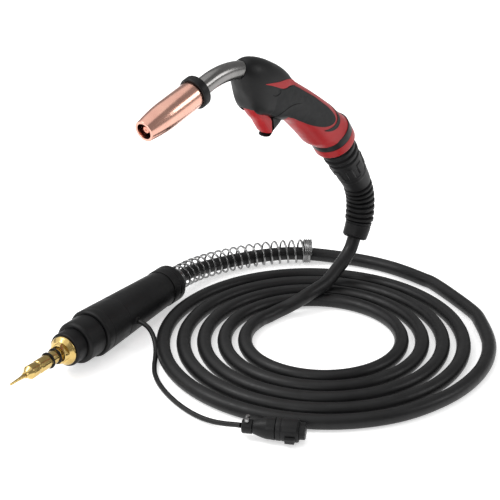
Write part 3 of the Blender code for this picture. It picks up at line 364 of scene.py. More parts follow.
# each station: X and Z of its top, X and Z of its bottom, half width, squareness of its lower half
HOOD_STATIONS = [
    (-89.8, 54.7, -85.6, 42.0, 4.5, 2.6),
    (-89.8, 59.5, -81.8, 34.2, 8.5, 3.4),
    (-87.9, 64.0, -77.8, 24.6, 12.0, 4.0),
    (-81.8, 67.0, -73.6, 18.8, 14.8, 4.0),
    (-72.3, 67.8, -68.8, 15.8, 16.5, 4.0),
    (-58.6, 64.0, -62.0, 13.6, 17.4, 3.8),
    (-44.5, 57.0, -56.5, 11.0, 17.7, 3.4),
    (-34.8, 51.0, -50.5, 7.4, 17.7, 3.0),
    (-28.6, 45.8, -42.0, 3.4, 17.5, 2.6),
    (-24.4, 40.4, -34.2, 0.6, 17.3, 2.3),
]
GRIP_STATIONS = [
    (-23.6, 38.4, -33.4, 0.8, 17.0, 2.3),
    (1.3, 22.8, -18.8, -5.7, 17.2, 2.3),
    (19.2, 10.9, -3.2, -19.4, 17.6, 2.3),
    (32.6, 1.4, 7.2, -29.5, 18.2, 2.3),
    (44.1, -8.0, 15.7, -37.4, 18.8, 2.3),
]
SECTION_POWER = 2.3           # roundness of the hood and grip sections

TRIGGER_PIN = (-71.5, 28.5)   # X and Z of the hinge pin
TRIGGER_LEAN = 58.0           # the lever hangs this far below +X
TRIGGER_LENGTH = 41.2
TRIGGER_DEPTH = 5.6           # the switch side of the lever, behind the pin's line
TRIGGER_TRAVEL = 4.0          # degrees
TRIGGER_CROWN = 3.6           # the finger face is set back this much at its sides
TRIGGER_HALF_WIDTH = 7.4
CHANNEL_HALF_WIDTH = 8.0
FIN_HALF_WIDTH = 6.8
PLUNGER_REACH = 26.0          # distance of the switch plunger from the pin

BALL_BORE = 8.0
BALL_INSET = 2.0              # ball centre this far ahead of the rim's rear face
COLLAR_RADIUS = 17.0
SLEEVE_RADII = (17.3, 14.6)
SLEEVE_SPAN = (21.3, 65.8)    # distances behind the rim, along the bend
BOOT_RIB_RADIUS = 14.2
BOOT_VALLEY_RADIUS = 12.3
BOOT_RIBS = 7
BOOT_SPAN = (66.1, 108.9)
BOOT_BORE = 8.2
CUFF_RADII = (13.2, 12.2)
CUFF_SPAN = (109.2, 127.9)
BEND_POINTS = [(66.6, -62.4), (82.0, -83.0), (92.5, -99.0), (98.9, -118.0), (97.8, -141.0),
               (89.9, -158.6)]

SPRING_RADIUS = 12.5
OPEN_PITCH = 9.2              # about the distance between open turns
CONNECTOR_REAR = (-50.1, 121.0, -193.2)
CONNECTOR_DIRECTION = (-0.9842, -0.1742, 0.0326)
REAR_COLLAR_LENGTH = 18.7
CONNECTOR_BORE = 14.6
HOUSING_END = 137.0
HOUSING_RADII = (18.0, 23.0)
FRONT_COLLAR_END = 160.5
NOSE_RING_END = 174.7
PIN_RADIUS = 6.35
PIN_FLANGE_RADIUS = 13.8
ORING_PLACES = (188.8, 198.6)
ORING_RADIUS = 6.75           # to the middle of the ring's section
PIN_END = 232.0
NEEDLE_END = 251.5

PLUG_REAR = (-201.4, -100.3, -201.2)
PLUG_DIRECTION = (0.502, -0.865, 0.0)
PLUG_RADIUS = 10.0


def frame_at(direction):
    """Two unit vectors across a direction; the first stays horizontal."""
    along = Vector(direction).normalized()
    side = along.cross(Vector((0, 0, 1)))
    if side.length < 1e-6:
        side = Vector((0, 1, 0))
    side.normalize()
    return along, side, side.cross(along)


def neck_line():
    """Points and directions of the neck's centre line, from its front end to its rear end."""
    dip, tilt = math.radians(NOZZLE_DIP), math.radians(GRIP_TILT)
    apex = Vector((NECK_APEX[0], 0, NECK_APEX[1]))
    centre = apex - Vector((0, 0, NECK_BEND_RADIUS))
    line = []
    steps = 60
    for i in range(steps + 1):
        angle = -dip + (dip + tilt) * i / steps
        point = centre + NECK_BEND_RADIUS * Vector((math.sin(angle), 0, math.cos(angle)))
        line.append((point, Vector((math.cos(angle), 0, -math.sin(angle)))))
    front_point, front_dir = line[0]
    rear_point, rear_dir = line[-1]
    ahead = NECK_FRONT_STRAIGHT + RING_WIDTH - 5.0
    line.insert(0, (front_point - front_dir * ahead, front_dir))
    line.append((rear_point + rear_dir * NECK_REAR_STRAIGHT, rear_dir))
    return line


def nozzle_axis():
    """The centre of the nozzle's mouth and the direction towards the handle."""
    dip = math.radians(NOZZLE_DIP)
    back = Vector((math.cos(dip), 0, math.sin(dip)))
    front_point = neck_line()[1][0]
    mouth = front_point - back * (NECK_FRONT_STRAIGHT + RING_WIDTH + NOZZLE_LENGTH)
    return mouth, back


def rim_axis():
    """The rear rim's centre and the direction that leads out of the handle."""
    lean = math.radians(RIM_TILT)
    return Vector((RIM_CENTRE[0], 0, RIM_CENTRE[1])), Vector((math.cos(lean), 0, -math.sin(lean)))


def lever_point(along, outward, y=0.0):
    """A point in the trigger's own directions: down the lever from the pin, and towards the rear."""
    lean = math.radians(TRIGGER_LEAN)
    down = Vector((math.cos(lean), 0, -math.sin(lean)))
    rear = Vector((math.sin(lean), 0, math.cos(lean)))
    return Vector((TRIGGER_PIN[0], y, TRIGGER_PIN[1])) + down * along + rear * outward


# ---- detailed pieces -----------------------------------------------------------------------------
def place(obj, body, slot_name, *nodes):
    """Rides a piece on its body and hides the CAD nodes it stands for."""
    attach(obj, body)
    if nodes:
        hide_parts(*nodes)
    return obj


def loft(name, rings, look, capped=True, angle=38.0):
    count = len(rings[0])
    verts = [p for ring in rings for p in ring]
    faces = []
    if capped:
        faces += [list(range(count)), [len(verts) - count + i for i in range(count)]]
    for row in range(len(rings) - 1):
        for i in range(count):
            j = (i + 1) % count
            faces.append([row * count + i, row * count + j, (row + 1) * count + j, (row + 1) * count + i])
    return mesh_object(name, verts, faces, look, angle)


def rounded(profile, radius):
    """The outline with each corner cut by a short arc."""
    result = []
    for i, (s, r) in enumerate(profile):
        here = Vector((s, r))
        before, after = Vector(profile[i - 1]), Vector(profile[(i + 1) % len(profile)])
        reach = min(radius, 0.4 * (before - here).length, 0.4 * (after - here).length)
        if r == 0.0 or reach < 0.02:
            result.append((s, r))
            continue
        a = here + (before - here).normalized() * reach
        b = here + (after - here).normalized() * reach
        for t in (0.0, 0.33, 0.67, 1.0):
            p = (1 - t) ** 2 * a + 2 * t * (1 - t) * here + t * t * b
            result.append((p.x, p.y))
    return result


AXIS_RADIUS = 1e-3            # a turned outline's points on the axis keep this radius


def turned(name, profile, origin, direction, look, segments=96, radius=0.5):
    along, side, up = frame_at(direction)
    profile = rounded(profile, radius)
    rings = []
    for s, r in profile:
        ring = []
        for i in range(segments):
            turn = 2 * math.pi * i / segments
            outward = math.cos(turn) * side + math.sin(turn) * up
            ring.append(Vector(origin) + along * s + outward * max(r, AXIS_RADIUS))
        rings.append(ring)
    return loft(name, rings + [rings[0]], look, capped=False, angle=30.0)


def boolean(obj, other, operation):
    change = obj.modifiers.new(operation.lower() + "_" + other.name, "BOOLEAN")
    change.operation = operation
    change.solver = "EXACT"
    change.object = other


def bake(obj, others):
    """Applies the modifiers to the mesh and removes the helper objects."""
    depsgraph = bpy.context.evaluated_depsgraph_get()
    mesh = bpy.data.meshes.new_from_object(obj.evaluated_get(depsgraph))
    obj.modifiers.clear()
    obj.data = mesh
    mesh.shade_smooth()
    mesh.set_sharp_from_angle(angle=math.radians(32))
    for other in others:
        bpy.data.objects.remove(other, do_unlink=True)
    return obj


def prism(name, outline, low, high, look):
    return loft(name, [[(x, low, z) for x, z in outline], [(x, high, z) for x, z in outline]], look)


def smooth_outline(points, step=1.2):
    """A closed smooth XZ outline through its points."""
    ring = [Vector((x, 0, z)) for x, z in points]
    count = len(ring)
    fine = []
    for k in range(count):
        a, b, c, d = (ring[(k + j - 1) % count] for j in range(4))
        parts = max(1, round((c - b).length / step))
        for i in range(parts):
            fine.append(between(a, b, c, d, i / parts))
    return [(p.x, p.z) for p in fine]


def ring_across(centre, direction, radius_at, segments):
    """Points round a line in the middle plane; radius_at gives the radius at each angle."""
    side = Vector((0, 1, 0))
    up = side.cross(direction).normalized()
    turns = [2 * math.pi * i / segments for i in range(segments)]
    return [centre + radius_at(turn) * (math.cos(turn) * side + math.sin(turn) * up) for turn in turns]


def neck_tube_rings(radius, line, segments=64):
    return [ring_across(p, d, lambda turn: radius, segments) for p, d in line]


def make_neck():
    line = neck_line()
    outer = neck_tube_rings(NECK_RADIUS, line)
    inner = neck_tube_rings(NECK_RADIUS - NECK_WALL, line)
    tube = loft("neck_skin", outer + inner[::-1] + [outer[0]], NECK_STEEL, capped=False)
    place(tube, "torch_head", "steel", "neck_tube")


def make_nozzle():
    mouth, back = nozzle_axis()
    end = NOZZLE_LENGTH
    flare = NOZZLE_RADIUS - NOZZLE_MOUTH_RADIUS
    taper = [(NOZZLE_TAPER * t, NOZZLE_MOUTH_RADIUS + flare * (1 - (1 - t) ** 1.7))
             for t in (0.12, 0.25, 0.4, 0.55, 0.7, 0.85, 1.0)]
    nozzle = [(0.0, NOZZLE_MOUTH_RADIUS)] + taper + [
        (end - GAP, NOZZLE_RADIUS), (end - GAP, NOZZLE_SEAT_RADIUS),
        (end + 4.5, NOZZLE_SEAT_RADIUS), (end + 4.5, NOZZLE_BODY_BORE),
        (NOZZLE_TAPER, NOZZLE_BODY_BORE), (6.0, NOZZLE_BORE_RADIUS), (0.0, NOZZLE_BORE_RADIUS)]
    place(turned("nozzle_skin", nozzle, mouth, back, COPPER, 128, 0.4), "torch_head", "copper", "gas_nozzle")
    ring = [
        (end, RING_RADIUS - 0.6), (end + 0.8, RING_RADIUS), (end + RING_WIDTH - 1.0, RING_RADIUS),
        (end + RING_WIDTH, RING_RADIUS - 1.0), (end + RING_WIDTH, NECK_RADIUS + GAP),
        (end + 5.0, NECK_RADIUS + GAP), (end + 5.0, NOZZLE_SEAT_RADIUS + GAP),
        (end, NOZZLE_SEAT_RADIUS + GAP)]
    place(turned("insulator_skin", ring, mouth, back, BLACK, 96, 0.6), "torch_head", "black_plastic",
          "nozzle_insulator")
    tip_end = DIFFUSER_START - GAP
    tip = [(TIP_RECESS, TIP_BORE), (TIP_RECESS, TIP_RADIUS - 0.4), (TIP_RECESS + 0.6, TIP_RADIUS),
           (tip_end - 8.0, TIP_RADIUS), (tip_end - 6.5, TIP_RADIUS + 0.9), (tip_end, TIP_RADIUS + 0.9),
           (tip_end, TIP_BORE)]
    place(turned("tip_skin", tip, mouth, back, TIP_COPPER, 48, 0.3), "torch_head", "copper", "contact_tip")


# ---- handle --------------------------------------------------------------------------------------
def section_point(station, fraction, side, grow=0.0):
    top = Vector((station[0], 0, station[1]))
    bottom = Vector((station[2], 0, station[3]))
    up = (top - bottom).normalized()
    height = (top - bottom).length / 2 + grow
    power = station[6] if fraction > 0 else station[5]
    flat = max(0.0, 1.0 - abs(fraction) ** power) ** (1.0 / power)
    return (top + bottom) / 2 + up * fraction * height + Vector((0, side * (station[4] + grow) * flat, 0))


def refine(stations, parts):
    """Stations with smooth ones put between them."""
    ends = [stations[0]] + list(stations) + [stations[-1]]
    fine = []
    for k in range(1, len(ends) - 2):
        a, b, c, d = ends[k - 1:k + 3]
        for i in range(parts):
            fine.append(tuple(between(*group, i / parts) for group in zip(a, b, c, d)))
    return fine + [tuple(stations[-1])]


def section_ring(station, grow=0.0, count=36):
    ring = []
    for side in (1, -1):
        for i in range(count):
            share = i / count
            fraction = math.cos(math.pi * (share if side > 0 else 1 - share))
            ring.append(section_point(station, fraction, side, grow))
    return ring


def rear_station():
    centre, out = rim_axis()
    middle = centre - out * (RIM_WIDTH + BAND_WIDTH + 2 * GAP)
    up = Vector((-out.z, 0, out.x)) * BAND_RADIUS
    top, bottom = middle + up, middle - up
    return (top.x, top.z, bottom.x, bottom.z, BAND_RADIUS, 2.0, 2.0)


HOOD = [s + (SECTION_POWER,) for s in HOOD_STATIONS]
GRIP = [s + (SECTION_POWER,) for s in GRIP_STATIONS] + [rear_station()]
WHOLE = HOOD[2:-1] + GRIP[1:]
# the soft skin rises out of the hood's side and stands proud of the grip
PAD_GROW = [-1.0, -1.0, -0.8, -0.4, 0.25, 0.7, 1.1, 1.35, 1.35, 1.35, 1.35, 1.2]
PAD_OUTLINE = [
    (-67.5, 44.9), (-61.0, 41.2), (-55.9, 39.1), (-50.0, 36.6), (-45.8, 35.5), (-42.0, 35.3), (-38.3, 35.7),
    (-34.0, 35.4), (-29.6, 34.3), (-23.0, 31.0), (-16.3, 26.7), (-8.0, 21.8), (0.7, 16.6), (7.6, 11.4),
    (14.6, 6.2), (20.2, 1.8), (24.6, -2.6), (27.8, -6.6), (29.4, -10.4), (28.4, -13.0), (25.2, -15.0),
    (20.0, -15.8), (13.5, -15.2), (5.0, -13.0), (-4.3, -9.4), (-14.2, -4.2), (-26.6, 2.6), (-33.0, 5.0),
    (-40.0, 8.4), (-50.0, 10.0), (-60.0, 15.0), (-70.0, 24.0), (-73.0, 38.0)]
WEDGE_OUTLINE = [
    (-70.0, 45.7), (-62.0, 44.9), (-52.0, 43.6), (-42.0, 42.8), (-35.0, 41.6), (-30.5, 40.4), (-27.4, 38.6),
    (-25.6, 36.2), (-25.8, 33.4), (-29.6, 35.0), (-34.0, 36.1), (-38.3, 36.5), (-42.0, 36.1),
    (-45.8, 36.3), (-50.0, 37.4), (-55.9, 39.9), (-62.0, 42.6)]
CRESCENT_OUTLINE = [
    (14.0, -19.6), (19.5, -21.6), (26.0, -22.2), (32.4, -20.8), (37.4, -17.2), (39.9, -12.4), (39.6, -7.0),
    (37.4, -2.4), (35.4, 0.2), (35.6, -3.8), (36.0, -8.0), (35.2, -11.8), (32.2, -15.4), (27.0, -18.0),
    (20.0, -19.2)]


def open_line(points, parts=5):
    """Extra points on a smooth open line of (a, b) pairs."""
    ends = [points[0]] + points + [points[-1]]
    fine = []
    for k in range(1, len(ends) - 2):
        for i in range(parts):
            fine.append(tuple(between(*group, i / parts) for group in zip(*ends[k - 1:k + 3])))
    return fine + [points[-1]]


GROOVE_LINE = [(-56.5, 3.0), (-53.6, 8.0), (-50.4, 11.4), (-44.4, 15.0), (-36.9, 17.6), (-29.3, 17.9),
               (-21.0, 16.4)]
BOSS_LINE = [(-60.7, 33.6), (-58.0, 32.3), (-54.9, 32.2), (-52.0, 33.0), (-50.7, 34.6), (-51.4, 36.4)]


PATCH_FROM, PATCH_TO = 3.0, 40.0  # a skin patch covers this span of Y


def ribbon(points, width):
    """The XZ outline of a line of some width, pointed at both ends."""
    line = open_line(points, 6)
    left, right = [], []
    for i, (x, z) in enumerate(line):
        a, b = line[max(i - 1, 0)], line[min(i + 1, len(line) - 1)]
        dx, dz = b[0] - a[0], b[1] - a[1]
        size = math.hypot(dx, dz)
        half = width / 2 * (0.25 + 0.75 * math.sin(math.pi * min(1.0, 0.06 + i / (len(line) - 1))) ** 0.5)
        left.append((x - dz / size * half, z + dx / size * half))
        right.append((x + dz / size * half, z - dx / size * half))
    return left + right[::-1]


def skin_patch(name, low, grows, outline, side, look, smooth=True):
    """A patch of the handle's skin between two offsets, trimmed to an XZ outline."""
    outer_stations = refine([s + (g,) for s, g in zip(WHOLE, grows)], 5)
    outer = [section_ring(s, s[-1], 40) for s in outer_stations]
    inner = [section_ring(s, s[-1] - low, 40) for s in outer_stations]
    patch = loft(name, outer + inner[::-1] + [outer[0]], look, capped=False)
    low_y, high_y = sorted((side * PATCH_FROM, side * PATCH_TO))
    window = prism(name + "_window", smooth_outline(outline) if smooth else outline, low_y, high_y, look)
    boolean(patch, window, "INTERSECT")
    return bake(patch, [window])


def fin_rings():
    outline = [(-60.0, 16.0), (-57.8, 4.0), (-57.6, -4.6), (-56.2, -8.2), (-53.2, -10.2), (-49.8, -9.8),
               (-44.8, -6.0), (-35.8, -0.2), (-38.0, 6.0), (-42.0, 16.0)]
    outline = smooth_outline(outline, 0.9)
    rings = []
    for i in range(-12, 13):
        y = math.sin(math.pi / 2 * i / 12)
        pull = 1.0 - math.sqrt(max(0.0, 1.0 - 0.96 * y * y))
        ring = []
        for x, z in outline:
            low = max(0.0, min(1.0, (5.0 - z) / 6.0))
            lean_in = max(-1.0, min(1.0, (-52.0 - x) / 4.0))
            ring.append((x + 1.4 * lean_in * pull * low, y * FIN_HALF_WIDTH, z + 2.6 * pull * low))
        rings.append(ring)
    return rings


def channel_outline():
    end, deep, room = TRIGGER_LENGTH, TRIGGER_DEPTH, 0.8
    swing = math.radians(TRIGGER_TRAVEL)
    back = [(-6.4, 5.2), (6.0, 6.0), (PLUNGER_REACH - 6.0, deep + swing * 20.0 + room),
            (31.0, deep + swing * 31.0 + room), (end - 3.6, deep - 3.0 + swing * 38.0 + room),
            (end + room, 0.6 + swing * end + room), (end + room, -25.0), (3.6, -25.0), (3.6, -6.6),
            (0.4, -5.2), (-6.4, -2.4)]
    corners = [lever_point(a, b) for a, b in back]
    return [(c.x, c.z) for c in corners]


def make_hood():
    hood = loft("hood_skin", [section_ring(s) for s in refine(HOOD, 5)], BLACK)
    fin = loft("fin_skin", fin_rings(), BLACK)
    line = neck_line()
    line[-1] = (line[-1][0] + line[-1][1] * 30.0, line[-1][1])
    bore = loft("neck_bore", neck_tube_rings(NECK_RADIUS + GAP, line, 48), BLACK)
    channel = prism("trigger_channel", channel_outline(), -CHANNEL_HALF_WIDTH, CHANNEL_HALF_WIDTH, BLACK)
    boolean(hood, fin, "UNION")
    boolean(hood, bore, "DIFFERENCE")
    boolean(hood, channel, "DIFFERENCE")
    bake(hood, [fin, bore, channel])
    place(hood, "torch_head", "black_plastic", "hood_left", "hood_right")


def make_grip():
    fine = refine(GRIP, 8)
    outer = [section_ring(s) for s in fine]
    inner = [section_ring(s, -1.2) for s in fine]
    shell = loft("grip_skin", outer + inner[::-1] + [outer[0]], RED, capped=False)
    place(shell, "torch_head", "red_plastic", "grip_shell_left", "grip_shell_right")
    for word, side in (("left", -1), ("right", 1)):
        pad = skin_patch("pad_skin_" + word, 2.2, PAD_GROW, PAD_OUTLINE, side, SOFT)
        place(pad, "torch_head", "soft_grip", "grip_pad_" + word)
        flush = [0.35] * len(WHOLE)
        wedge = skin_patch("wedge_" + word, 1.4, flush, WEDGE_OUTLINE, side, RED)
        place(wedge, "torch_head", "red_plastic")
        mark = skin_patch("crescent_" + word, 1.0, flush, CRESCENT_OUTLINE, side, BLACK)
        place(mark, "torch_head", "black_plastic")
        # Thin near-black ribbons raised just proud of the pad: painted shade standing in for the groove and
        # the boss edge.
        raised = [max(g, 0.0) + 0.07 for g in PAD_GROW]
        for kind, points, width in (("groove", GROOVE_LINE, 1.1), ("boss", BOSS_LINE, 0.7)):
            line = skin_patch("%s_%s" % (kind, word), 0.6, raised, ribbon(points, width), side, CREASE_SHADE, False)
            place(line, "torch_head", "black_plastic")


def make_rear_rings():
    centre, out = rim_axis()
    seam, end = -10.0, -19.3  # the rim's front edge and the band's front edge, ahead of the rear face
    cover = BAND_RADIUS + 0.3
    band = [(end, cover), (seam - GAP, cover), (seam - GAP, RIM_BORE), (end, RIM_BORE)]
    place(turned("band_skin", band, centre, out, BLACK, 96, 0.3), "torch_head", "black_plastic", "grip_band")
    rim = [(seam, RIM_RADIUS), (-1.4, RIM_RADIUS), (0.0, RIM_RADIUS - 1.2), (0.0, RIM_BORE),
           (seam, RIM_BORE)]
    place(turned("rim_skin", rim, centre, out, RED, 96, 0.7), "torch_head", "red_plastic", "rear_rim")


def make_trigger():
    end, deep = TRIGGER_LENGTH, TRIGGER_DEPTH
    front = open_line([(-4.0, -1.0), (-2.6, -2.2), (0.8, -3.6), (4.2, -5.2), (5.0, -7.2), (13.0, -7.0),
                       (22.0, -5.0), (30.0, -4.6), (end - 4.0, -4.0), (end - 1.0, -2.6), (end, -1.0)])
    back = [(end - 1.0, 0.6), (end - 4.4, deep - 3.0), (31.0, deep), (PLUNGER_REACH - 6.0, deep),
            (8.0, 4.8), (0.0, 4.4), (-3.6, 2.6)]
    rings = []
    for i in range(-14, 15):
        y = math.sin(math.pi / 2 * i / 14)
        set_back = TRIGGER_CROWN * (1.0 - math.sqrt(1.0 - 0.9 * y * y))
        rings.append([lever_point(a, b + set_back, y * TRIGGER_HALF_WIDTH) for a, b in front]
                     + [lever_point(a, b, y * TRIGGER_HALF_WIDTH) for a, b in back])
    place(loft("trigger_skin", rings, RED), "trigger_lever", "red_plastic", "trigger")


# ---- ball joint cover and bend relief ------------------------------------------------------------
def bend_line(spans, step):
    route = [(RIM_CENTRE[0], 0.0, RIM_CENTRE[1])] + [(x, 0.0, z) for x, z in BEND_POINTS]
    fine = smooth_points(route, 0.25)
    dirs = tangents(fine)
    span = length_of(fine)
    count = max(1, round((spans[1] - spans[0]) / step))
    chosen = []
    for i in range(count + 1):
        where = spans[0] + (spans[1] - spans[0]) * i / count
        index = min(len(fine) - 1, round(where / span * (len(fine) - 1)))
        chosen.append((fine[index], dirs[index], where))
    return chosen


def bend_skin(name, spans, step, radius_at, bore, look, segments=96):
    """A tube along the bend whose radius depends on the distance and the angle round it."""
    line = bend_line(spans, step)
    rings = [ring_across(p, d, lambda turn, at=where: radius_at(at, turn), segments) for p, d, where in line]
    inner = [ring_across(p, d, lambda turn: bore, segments) for p, d, _ in line[::-1]]
    return loft(name, rings + inner + [rings[0]], look, capped=False, angle=30.0)


def ease(value, low, high):
    t = max(0.0, min(1.0, (value - low) / (high - low)))
    return t * t * (3 - 2 * t)


def sleeve_radius(where, turn):
    share = (where - SLEEVE_SPAN[0]) / (SLEEVE_SPAN[1] - SLEEVE_SPAN[0])
    radius = SLEEVE_RADII[0] + (SLEEVE_RADII[1] - SLEEVE_RADII[0]) * share - 0.7
    edge = 1.2 * (1 - ease(where, SLEEVE_SPAN[0], SLEEVE_SPAN[0] + 1.2))
    edge += 1.0 * ease(where, SLEEVE_SPAN[1] - 1.0, SLEEVE_SPAN[1])
    wave = math.cos(8 * turn)
    tab = ease(wave, -0.12, 0.12) * ease(where, 28.0, 28.8) * (1 - ease(where, 41.0, 41.8))
    notch = ease(-wave, 0.2, 0.4) * ease(where, 33.0, 33.8) * (1 - ease(where, 44.0, 44.8))
    ring = ease(where, 46.5, 47.2) * (1 - ease(where, 49.6, 50.3))
    return radius + 0.75 * tab - 0.5 * notch + 0.25 * ring - edge


def boot_radius(where, _turn):
    pitch = (BOOT_SPAN[1] - BOOT_SPAN[0]) / BOOT_RIBS
    phase = ((where - BOOT_SPAN[0]) / pitch) % 1.0
    rise = ease(phase, 0.18, 0.42) * (1 - ease(phase, 0.86, 1.0))
    return BOOT_VALLEY_RADIUS - 0.8 + (BOOT_RIB_RADIUS - BOOT_VALLEY_RADIUS + 0.8) * rise


def cuff_radius(where, _turn):
    share = (where - CUFF_SPAN[0]) / (CUFF_SPAN[1] - CUFF_SPAN[0])
    radius = CUFF_RADII[0] + (CUFF_RADII[1] - CUFF_RADII[0]) * share
    line = ease(where, 112.6, 112.9) * (1 - ease(where, 113.5, 113.8))
    ends = 1.3 * (1 - ease(where, CUFF_SPAN[0], CUFF_SPAN[0] + 1.2)) + 2.0 * ease(where, 125.9, 127.9)
    return radius - 0.45 * line - ends


def make_relief():
    centre, out = rim_axis()
    ball = centre - out * BALL_INSET
    end = SLEEVE_SPAN[0] + BALL_INSET - 2 * GAP
    collar = [(7.3, COLLAR_RADIUS - 1.6), (8.6, COLLAR_RADIUS), (12.2, COLLAR_RADIUS),
              (12.9, COLLAR_RADIUS - 1.8), (15.2, COLLAR_RADIUS - 1.8), (15.9, COLLAR_RADIUS + 0.4),
              (19.4, COLLAR_RADIUS + 0.4),
              (20.0, COLLAR_RADIUS - 1.4), (end, COLLAR_RADIUS - 1.4), (end, BALL_BORE), (7.3, BALL_BORE)]
    place(turned("collar_skin", collar, ball, out, RUBBER, 96, 0.5), "cable_set", "rubber", "knuckle_collar")
    sleeve = bend_skin("sleeve_skin", SLEEVE_SPAN, 0.4, sleeve_radius, BOOT_BORE, RUBBER, 144)
    place(sleeve, "cable_set", "rubber", "knuckle_sleeve")
    boot = bend_skin("boot_skin", BOOT_SPAN, 0.5, boot_radius, BOOT_BORE, RUBBER)
    cutters = []
    pitch = (BOOT_SPAN[1] - BOOT_SPAN[0]) / BOOT_RIBS
    for number in range(3, 7):
        valley = (BOOT_SPAN[0] + pitch * (number + 0.07), BOOT_SPAN[0] + pitch * (number + 0.1))
        p, d, _ = bend_line(valley, 1.0)[0]
        through = Vector((0.766, 0.643, 0.0))
        through = (through - d * through.dot(d)).normalized()
        across = d.cross(through).normalized()
        for hand in (-1, 1):
            middle = p + across * hand * 10.3
            ring = [(-1.1, -1.3), (1.1, -1.3), (1.1, 1.3), (-1.1, 1.3)]
            ends = [[middle + through * reach + d * a + across * b for a, b in ring]
                    for reach in (-18.0, 18.0)]
            cutters.append(loft("slot_%d_%d" % (number, hand), ends, RUBBER))
    for cutter in cutters:
        boolean(boot, cutter, "DIFFERENCE")
    bake(boot, cutters)
    place(boot, "cable_set", "rubber", "bend_relief")
    inside = [p for p, _, _ in bend_line((24.0, CUFF_SPAN[1]), 3.0)]
    inside.append(Vector(UPPER_ROUTE[0]) + (inside[-1] - Vector(UPPER_ROUTE[0])).normalized() * 0.05)
    place(curve_tube("inner_cable", inside, CABLE_RADIUS, CABLE, 7), "cable_set", "cable_rubber",
          "cable_inside_relief")
    cuff = bend_skin("cuff_skin", CUFF_SPAN, 0.3, cuff_radius, CABLE_RADIUS + 3 * GAP, RUBBER)
    place(cuff, "cable_set", "rubber", "relief_cuff")


# ---- connector and plug --------------------------------------------------------------------------
def on_connector(name, profile, look, node, slot_name, radius=0.6, segments=128):
    piece = turned(name, profile, CONNECTOR_REAR, CONNECTOR_DIRECTION, look, segments, radius)
    return place(piece, "cable_set", slot_name, node)


def make_connector():
    bore = CONNECTOR_BORE
    on_connector("rear_collar_skin", [
        (0.0, 14.0), (0.0, 17.2), (1.0, 18.7), (8.0, 18.7), (8.5, 18.3), (9.2, 18.3), (9.7, 18.7),
        (REAR_COLLAR_LENGTH, 18.7), (REAR_COLLAR_LENGTH, bore), (2.0, bore), (2.0, 14.0)], RUBBER,
        "connector_rear_collar", "rubber")
    start = REAR_COLLAR_LENGTH + GAP
    slope = (HOUSING_RADII[1] - HOUSING_RADII[0]) / (HOUSING_END - start)
    profile = [(start, HOUSING_RADII[0] - 0.4)]
    for place_s, step in ((start + 0.6, 0.0), (98.0, 0.0), (98.3, -0.35), (99.4, -0.35), (99.7, 0.0),
                          (126.0, 0.0), (126.3, -0.3), (127.2, -0.3), (127.5, 0.0), (HOUSING_END - 2.0, 0.0)):
        profile.append((place_s, HOUSING_RADII[0] + slope * (place_s - start) + step))
    profile += [(HOUSING_END, HOUSING_RADII[1] - 1.4), (HOUSING_END, bore), (start, bore)]
    on_connector("housing_skin", profile, RUBBER, "connector_housing", "rubber")
    start = HOUSING_END + GAP
    on_connector("front_collar_skin", [
        (start, 19.0), (start + 1.2, 20.0), (FRONT_COLLAR_END - 2.4, 20.0), (FRONT_COLLAR_END, 18.0),
        (FRONT_COLLAR_END, bore), (start, bore)], RUBBER, "connector_front_collar", "rubber", 1.0)
    start = FRONT_COLLAR_END + GAP
    on_connector("nose_ring_skin", [
        (start, 15.8), (NOSE_RING_END - 0.9, 15.8), (NOSE_RING_END, 14.9), (NOSE_RING_END, 9.6),
        (start, 9.6)], RUBBER, "connector_nose_ring", "rubber", 0.5)
    start = NOSE_RING_END + GAP
    pin = [(start - 0.6, 0.0), (start - 0.6, PIN_RADIUS)]
    for spot in ORING_PLACES:
        pin += [(spot - 1.3, PIN_RADIUS), (spot - 1.3, 5.4), (spot + 1.3, 5.4), (spot + 1.3, PIN_RADIUS)]
    pin += [(214.0, PIN_RADIUS), (215.0, 5.6), (217.6, 5.6), (218.4, PIN_RADIUS), (226.0, PIN_RADIUS),
            (PIN_END - 2.0, 3.2), (PIN_END, 3.0), (PIN_END, 0.0)]
    on_connector("pin_skin", pin, BRASS, "power_pin", "brass", 0.3)
    for number, spot in enumerate(ORING_PLACES):
        turns = [math.radians(30 * i) for i in range(12)]
        seal = [(spot + math.cos(turn), ORING_RADIUS + math.sin(turn)) for turn in turns]
        on_connector("oring_skin_%d" % (number + 1), seal, RUBBER, "pin_oring_%d" % (number + 1),
                     "rubber", 0.0)
    on_connector("inlet_skin", [
        (PIN_END + GAP, 0.0), (PIN_END + GAP, 2.2), (NEEDLE_END - 12.0, 1.5), (NEEDLE_END, 1.0),
        (NEEDLE_END, 0.0)], BRASS, "wire_inlet", "brass", 0.2, 32)
    make_flange(NOSE_RING_END + GAP)


def make_flange(start):
    along, side, up = frame_at(CONNECTOR_DIRECTION)
    flange = turned("flange_skin", [
        (start, PIN_RADIUS + GAP), (start, PIN_FLANGE_RADIUS - 0.5), (start + 1.0, PIN_FLANGE_RADIUS),
        (start + 2.6, PIN_FLANGE_RADIUS - 0.6), (start + 5.2, 10.2), (start + 10.6, 9.2),
        (start + 10.6, PIN_RADIUS + GAP)], CONNECTOR_REAR, CONNECTOR_DIRECTION, BRASS, 128, 0.4)
    cutters = []
    for number in range(4):
        turn = math.radians(45 + 90 * number)
        out = math.cos(turn) * side + math.sin(turn) * up
        across = along.cross(out)
        middle = Vector(CONNECTOR_REAR) + along * (start + 8.4) + out * 12.3
        section = ((-9, -4), (9, -4), (9, 4), (-9, 4))
        corners = [[middle + along * a + across * b + out * c for b, c in section] for a in (-2.9, 2.9)]
        cutters.append(loft("flat_%d" % number, corners, BRASS))
    for cutter in cutters:
        boolean(flange, cutter, "DIFFERENCE")
    bake(flange, cutters)
    place(flange, "cable_set", "brass", "pin_flange")


